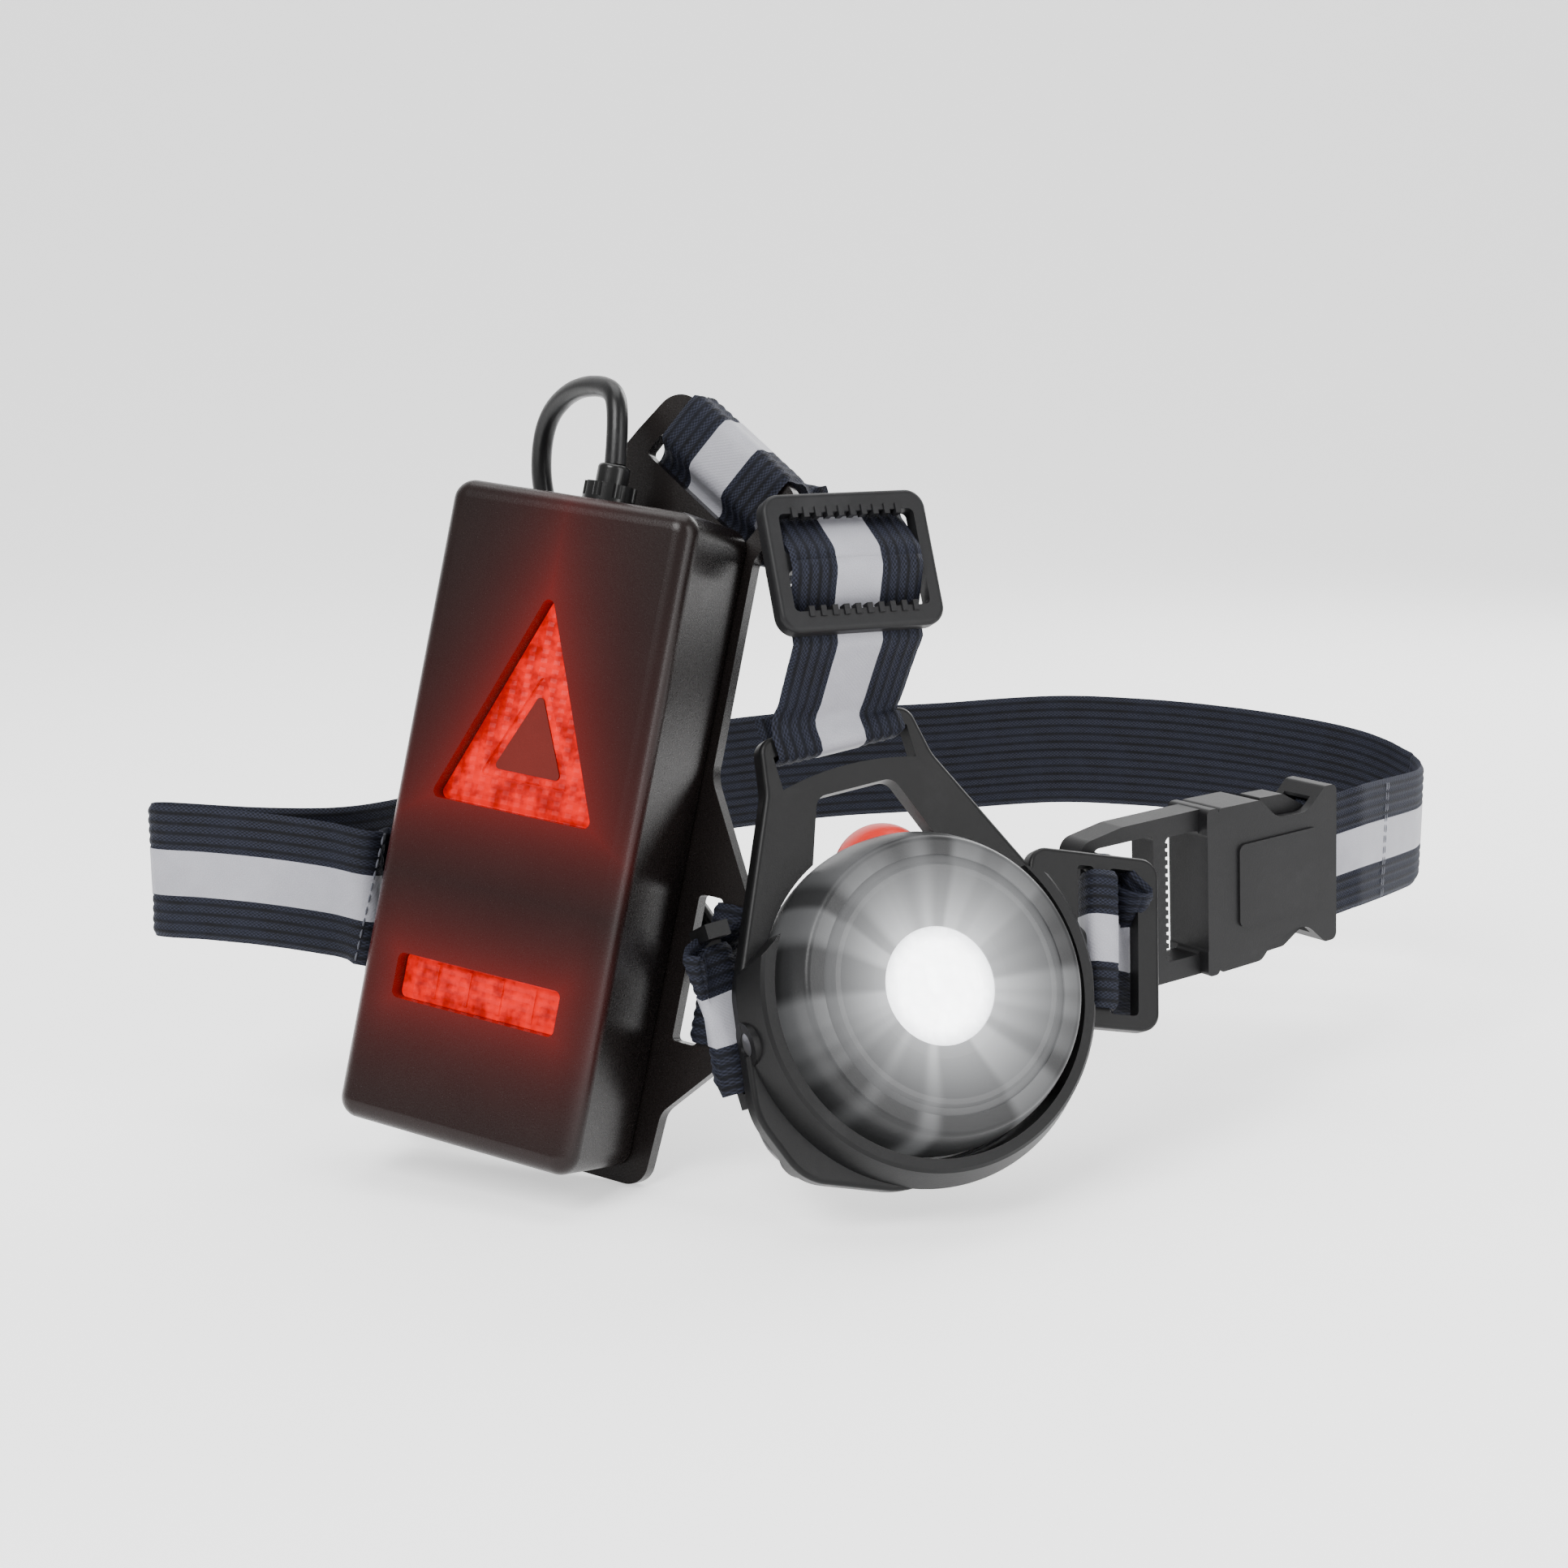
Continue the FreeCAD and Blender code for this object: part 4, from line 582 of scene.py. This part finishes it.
def between(before, after, steps, sag):
    stations = []
    for i in range(1, steps + 1):
        t = i / (steps + 1)
        centre = before[0].lerp(after[0], t) + Vector(sag) * MM * (4 * t * (1 - t))
        stations.append((centre, before[1].lerp(after[1], t)))
    return stations


def shoulder_lower_path():
    top = 41.6 + 4.4
    hem = [(49.5 + 4, PLATE_BACK + TOUCH + 0.3), (49.5, PLATE_BACK + TOUCH)]
    hem += hug((top, PLATE_BACK), 90, 180) + hug((top, PLATE_Y), 180, 270) + [(50.0, PLATE_Y - TOUCH)]
    lower = climbing(LAMP, hem)
    half = GLIDE_HALF + TOUCH
    upper = climbing(GLIDE, [(-GLIDE_H / 2 - 1.0, half + 0.2), (-GLIDE_H / 2, half)] + glide_half(-1)[::-1])
    return lower + between(lower[-1], upper[0], 3, (0, 0.6, 0)) + upper


UPPER_LOOP = [(-4.8, -61.0, 56.6), (-6.0, -54.3, 54.8), (-11.2, -47.5, 56.6), (-17.0, -42.8, 61.2),
              (-19.3, -40.8, 66.5), (-19.8, -41.4, 71.8), (-19.6, -44.6, 75.9)]


def shoulder_upper_path():
    half = GLIDE_HALF + TOUCH
    top = GLIDE_H / 2
    curl = [(top - 2.2, half + 0.5), (top - 1.2, half + 2.0), (top - 2.4, half + 3.8), (top - 6.0, half + 4.8)]
    first = climbing(GLIDE, glide_half(1) + curl)
    lean = math.radians(-31.0)
    across = PACK.to_3x3() @ Vector((math.cos(lean), 0, math.sin(lean)))
    out = Vector((-math.sin(lean), 0, math.cos(lean)))
    near, far = 2.4, 2.4 + 8.4
    fold = [(far + TOUCH + 0.3, CARRIER_BACK + 2.0), (far + TOUCH, CARRIER_BACK)] + hug((far, CARRIER_Y), 0, -90)
    fold += hug((near, CARRIER_Y), -90, -180)
    fold += [(-0.6, CARRIER_BACK + 0.6), (-2.2, CARRIER_BACK + 1.5), (-6, CARRIER_BACK + 1.4)]
    fold.append((-10, CARRIER_BACK + 1.2))
    ear = [(PACK @ ((Vector((13.4, y, 64.0)) + out * d) * MM), across) for d, y in fold]
    loop = []
    for i, point in enumerate(UPPER_LOOP):
        t = (i + 0.5) / len(UPPER_LOOP)
        loop.append((Vector(point) * MM, first[-1][1].lerp(across, t)))
    return first + loop + ear


# ---------------------------------------------------------------- webbing meshes
STEP = 0.0011                           # spacing of the webbing's sections, in metres
FACE_POINTS = 64
TAPE_HALF = 0.37                        # share of the half width that the tape covers
GROOVE, CORD_RISE = 0.40, 0.30          # height of a groove, and of a cord above it


def smooth_path(stations):
    """Hermite curve through the stations, sampled at an even spacing."""
    dense = []
    last = len(stations) - 1
    for i in range(last):
        p = [stations[min(max(k, 0), last)] for k in (i - 1, i, i + 1, i + 2)]
        chord = (p[2][0] - p[1][0]).length
        count = max(int(chord / (STEP * 0.5)), 2)
        pull = [(p[2][0] - p[0][0]), (p[3][0] - p[1][0])]
        for k in range(2):
            if pull[k].length > 1e-9:
                pull[k] = pull[k].normalized() * chord
        for j in range(count):
            t = j / count
            a = 2 * t ** 3 - 3 * t ** 2 + 1
            b = t ** 3 - 2 * t ** 2 + t
            c = -2 * t ** 3 + 3 * t ** 2
            d = t ** 3 - t ** 2
            point = p[1][0] * a + pull[0] * b + p[2][0] * c + pull[1] * d
            dense.append((point, p[1][1].lerp(p[2][1], c).normalized()))
    dense.append(stations[-1])
    even, gone, held = [dense[0]], 0.0, dense[0][0]
    for point, across in dense[1:]:
        gone += (point - held).length
        held = point
        if gone >= STEP:
            even.append((point, across))
            gone = 0.0
    if gone < STEP / 3 and len(even) > 2:
        even.pop()
    even.append(stations[-1])
    return even


def section(tape_out, tape_in):
    """(across, out, is tape) points round the webbing's section, in millimetres."""
    half = WEB_W / 2
    ring = []

    def face(sign, tape):
        for i in range(FACE_POINTS + 1):
            s = -1 + 2 * i / FACE_POINTS
            if sign < 0:
                s = -s
            edge = max(0.0, 1 - (abs(s) / 0.985) ** 24)
            taped = tape and abs(s) < TAPE_HALF
            phase = (abs(s) - TAPE_HALF) / (0.60 / 4) if tape else 5 * s
            high = HALF_T if taped else GROOVE + CORD_RISE * abs(math.sin(math.pi * phase)) ** 0.8
            ring.append((s * half, sign * high * edge, taped))

    face(1, tape_out)
    face(-1, tape_in)
    return ring


def strap(name, stations, tape_out, tape_in, join=None):
    """Webbing along the stations; the outer face is on the side of travel x width."""
    path = smooth_path(stations)
    ring = section(tape_out, tape_in)
    mesh = bpy.data.meshes.new(name)
    work = bmesh.new()
    uv = work.loops.layers.uv.new("UVMap")
    rings, along, travel = [], [], 0.0
    for i, (centre, across) in enumerate(path):
        ahead = (path[min(i + 1, len(path) - 1)][0] - path[max(i - 1, 0)][0]).normalized()
        if join and i == join[0] % len(path):
            ahead = join[1]
        width = (across - ahead * across.dot(ahead)).normalized()
        out = ahead.cross(width).normalized()
        if i:
            travel += (centre - path[i - 1][0]).length
        along.append(travel)
        row = []
        for x, y, taped in ring:
            ripple = 0.035 * math.sin(travel * 2 * math.pi / 0.0021 + (0.9 if x > 0 else 0.0))
            wave = 0.0 if taped else ripple
            rise = y + (wave if y > 0 else -wave)
            row.append(work.verts.new(centre + width * (x * MM) + out * (rise * MM)))
        rings.append(row)
    count = len(ring)
    for i in range(len(rings) - 1):
        for k in range(count):
            m = (k + 1) % count
            face = work.faces.new((rings[i][k], rings[i][m], rings[i + 1][m], rings[i + 1][k]))
            face.material_index = 1 if ring[k][2] and ring[m][2] else 0
            face.smooth = True
            for loop, (a, b) in zip(face.loops, ((i, k), (i, m), (i + 1, m), (i + 1, k))):
                loop[uv].uv = (ring[b][0] * MM * 100, along[a] * 100)
    for row in (rings[0][::-1], rings[-1]):
        face = work.faces.new(row)
        face.material_index = 0
    bmesh.ops.recalc_face_normals(work, faces=work.faces)
    work.to_mesh(mesh)
    work.free()
    mesh.materials.append(MATERIALS["webbing"].mat)
    mesh.materials.append(TAPE.mat)
    obj = bpy.data.objects.new(name, mesh)
    bpy.context.scene.collection.objects.link(obj)
    obj["length"] = travel
    return obj, path, travel


def stitches(name, path, places, side, body, blend=None):
    """Rows of stitches across the webbing at these distances in millimetres along its path."""
    mesh = bpy.data.meshes.new(name)
    work = bmesh.new()
    travel = 0.0
    marks = list(places)
    for i in range(1, len(path) - 1):
        travel += (path[i][0] - path[i - 1][0]).length
        while marks and travel >= marks[0] * MM:
            marks.pop(0)
            centre, across = path[i]
            ahead = (path[i + 1][0] - path[i - 1][0]).normalized()
            width = (across - ahead * across.dot(ahead)).normalized()
            out = ahead.cross(width).normalized() * side
            for k in range(11):
                x = -11.0 + 2.2 * k + random.uniform(-0.1, 0.1)
                middle = centre + width * (x * MM) + out * (0.70 * MM)
                turn = Matrix((width, ahead, out)).transposed().to_4x4()
                size = Matrix.Diagonal((0.85 * MM, 0.20 * MM, 0.16 * MM, 1.0))
                shape = Matrix.Translation(middle) @ turn @ size
                bmesh.ops.create_icosphere(work, subdivisions=2, radius=1.0, matrix=shape)
    for face in work.faces:
        face.smooth = True
    work.to_mesh(mesh)
    work.free()
    mesh.materials.append(THREAD.mat)
    obj = bpy.data.objects.new(name, mesh)
    bpy.context.scene.collection.objects.link(obj)
    if blend:
        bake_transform(obj)
    else:
        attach(obj, body)


JOIN_AHEAD = Vector((3.4, -17.5, -1.5)).normalized()
belt, belt_line, belt_length = strap("belt", BELT, False, True, (-1, JOIN_AHEAD))
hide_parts("belt_strap")
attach(belt, "harness")

end, end_line, end_length = strap("belt_end_webbing", belt_end_path(), False, True, (0, JOIN_AHEAD))
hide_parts("belt_end")
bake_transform(end)

END_BLEND = (Vector(JOIN_POINT), BUCKLE @ Vector((0.038, 0, 0)))
stitches("belt_end_stitches_out", end_line, [43.0, 44.6], -1, ("harness", "buckle_socket"), END_BLEND)
stitches("belt_end_stitches_in", end_line, [43.0, 44.6], 1, ("harness", "buckle_socket"), END_BLEND)
stitches("belt_stitches_out", belt_line, [19.0, 21.0, 27.0], -1, "harness")
stitches("belt_stitches_in", belt_line, [19.0, 21.0, 27.0], 1, "harness")

link, _, link_length = strap("link_webbing", link_path(), True, True)
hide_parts("link_strap")
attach(link, "harness")

side_strap, _, side_length = strap("buckle_webbing", buckle_path(), True, True)
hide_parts("buckle_strap")
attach(side_strap, "harness")

GLIDE_AHEAD = GLIDE.to_3x3() @ UP
lower, _, lower_length = strap(
    "shoulder_webbing_lower", shoulder_lower_path(), False, True, (-1, GLIDE_AHEAD))
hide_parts("shoulder_strap_lower")
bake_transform(lower)

upper, _, upper_length = strap(
    "shoulder_webbing_upper", shoulder_upper_path(), True, True, (0, GLIDE_AHEAD))
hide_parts("shoulder_strap_upper")
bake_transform(upper)


# ---------------------------------------------------------------- battery lead
PACK_TOP = 57.6 + 3.4 + 3.6
LEAD_POINTS = [PACK @ (Vector(p) * MM) for p in (
    (1.5, 11.0, PACK_TOP), (0.4, 11.0, PACK_TOP + 9), (-3.5, 13.5, PACK_TOP + 14.2),
    (-15.5, 20, PACK_TOP + 13.8), (-24.2, 26.5, PACK_TOP + 7), (-23.5, 30.2, PACK_TOP - 7),
    (-13.0, 30.0, PACK_TOP - 17), (8.0, 29.0, PACK_TOP - 22), (16.0, 28.6, PACK_TOP - 40),
    (16.5, 29.5, -4), (30.0, 34.0, -16))]
LEAD_POINTS += [LAMP @ (Vector(p) * MM) for p in ((-26.5, 31.0, -8), (-27.3, 27, -20.3), (-27.3, 15.5, -20.3))]


def lead():
    data = bpy.data.curves.new("battery_lead_cord", "CURVE")
    data.dimensions = "3D"
    spline = data.splines.new("NURBS")
    spline.points.add(len(LEAD_POINTS) - 1)
    for point, place in zip(spline.points, LEAD_POINTS):
        point.co = (*place, 1.0)
    spline.order_u = 3
    spline.use_endpoint_u = True
    spline.resolution_u = 12
    data.bevel_depth = 0.0019
    data.bevel_resolution = 8
    data.use_fill_caps = True
    data.materials.append(MATERIALS["lead_jacket"].mat)
    obj = bpy.data.objects.new("battery_lead_cord", data)
    bpy.context.scene.collection.objects.link(obj)
    return obj


cord = lead()
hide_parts("battery_lead")
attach(cord, "harness")


# ---------------------------------------------------------------- back pad
def pad():
    """A foam pad with a cover, quilted along three grooves, with a turned edge."""
    mesh = bpy.data.meshes.new("back_pad_cover")
    work = bmesh.new()
    nx, nz = 56, 112
    sides = []
    for face in (1, 0):
        grid = []
        for j in range(nz + 1):
            v = -1 + 2 * j / nz
            row = []
            for i in range(nx + 1):
                u = -1 + 2 * i / nx
                x = -5.5 + 15.5 * u * math.sqrt(1 - 0.279 * v * v)
                z = 6.0 + 31.0 * v * math.sqrt(1 - 0.145 * u * u)
                edge = max(abs(u), abs(v))
                rise = math.sqrt(max(0.0, 1 - edge ** 14))
                hem = 0.55 * math.exp(-((edge - 0.90) / 0.025) ** 2)
                seam = sum(math.exp(-((z - g) / 0.9) ** 2) for g in (-8.0, 6.0, 20.0))
                swell = 0.35 * math.cos(u * math.pi / 2)
                high = 0.15 + (4.5 + swell - hem - 1.5 * seam * (1 - edge ** 6)) * rise
                y = CARRIER_BACK + (high if face else 0.05 + 0.5 * (1 - rise))
                row.append(work.verts.new(PACK @ (Vector((x, y, z)) * MM)))
            grid.append(row)
        sides.append(grid)
        for j in range(nz):
            for i in range(nx):
                work.faces.new((grid[j][i], grid[j][i + 1], grid[j + 1][i + 1], grid[j + 1][i])).smooth = True
    ring = [(0, i) for i in range(nx)] + [(j, nx) for j in range(nz)]
    ring += [(nz, i) for i in range(nx, 0, -1)] + [(j, 0) for j in range(nz, 0, -1)]
    for (a, b), (c, d) in zip(ring, ring[1:] + ring[:1]):
        work.faces.new((sides[0][a][b], sides[0][c][d], sides[1][c][d], sides[1][a][b])).smooth = True
    bmesh.ops.recalc_face_normals(work, faces=work.faces)
    work.to_mesh(mesh)
    work.free()
    mesh.materials.append(MATERIALS["pad_foam"].mat)
    obj = bpy.data.objects.new("back_pad_cover", mesh)
    bpy.context.scene.collection.objects.link(obj)
    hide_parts("back_pad")
    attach(obj, "harness")


pad()


# ---------------------------------------------------------------- studio
def floor():
    """A pale paper sweep under and behind the object."""
    low = CAD_LOW[2]
    mesh = bpy.data.meshes.new("floor")
    work = bmesh.new()
    bend = 0.8
    profile = [(-2.5, low)]
    for k in range(16):
        angle = math.radians(6 * k)
        profile.append((0.9 + bend * math.sin(angle), low + bend - bend * math.cos(angle)))
    profile.append((1.7, 3.0))
    left, right = [[work.verts.new((x, y, z)) for y, z in profile] for x in (-3.0, 3.0)]
    for k in range(len(profile) - 1):
        work.faces.new((left[k], right[k], right[k + 1], left[k + 1])).smooth = True
    work.to_mesh(mesh)
    work.free()
    m = Mat("floor_paper")
    at = m.coords()
    m.to("Base Color", m.mix(m.noise(at, 40.0, 3.0), (0.86, 0.86, 0.86), (0.90, 0.90, 0.90)))
    m.to("Normal", m.bump(m.noise(at, 900.0, 3.0), 0.0001, 0.2))
    m.set(Roughness=0.9, Specular_IOR_Level=0.1)
    m.set(Emission_Color=(1.0, 1.0, 1.0, 1.0), Emission_Strength=0.80)
    mesh.materials.append(m.mat)
    obj = bpy.data.objects.new("floor", mesh)
    bpy.context.scene.collection.objects.link(obj)


def area_light(name, place, target, size, power, height=None):
    data = bpy.data.lights.new(name, "AREA")
    data.energy = power
    data.size = size
    if height:
        data.shape = "RECTANGLE"
        data.size_y = height
    obj = bpy.data.objects.new(name, data)
    obj.location = place
    obj.rotation_euler = (Vector(target) - Vector(place)).to_track_quat("-Z", "Y").to_euler()
    bpy.context.scene.collection.objects.link(obj)


floor()
area_light("key", (-0.45, -0.75, 0.75), (0, -0.04, 0), 0.55, 15.0)
area_light("fill", (0.75, -0.6, 0.35), (0, -0.04, 0), 0.5, 5.0, height=0.9)
area_light("top", (0.0, 0.1, 1.0), (0, -0.04, 0), 0.8, 8.0)
area_light("rim", (0.45, 0.55, 0.45), (0, -0.04, 0.02), 0.4, 4.0)
area_light("edge", (0.33, -0.42, 0.12), (-0.03, -0.08, 0.0), 0.05, 0.9, height=0.6)

world = bpy.data.worlds.new("world")
world.use_nodes = True
world.node_tree.nodes["Background"].inputs[0].default_value = (1.0, 1.0, 1.0, 1.0)
world.node_tree.nodes["Background"].inputs[1].default_value = 0.55
bpy.context.scene.world = world
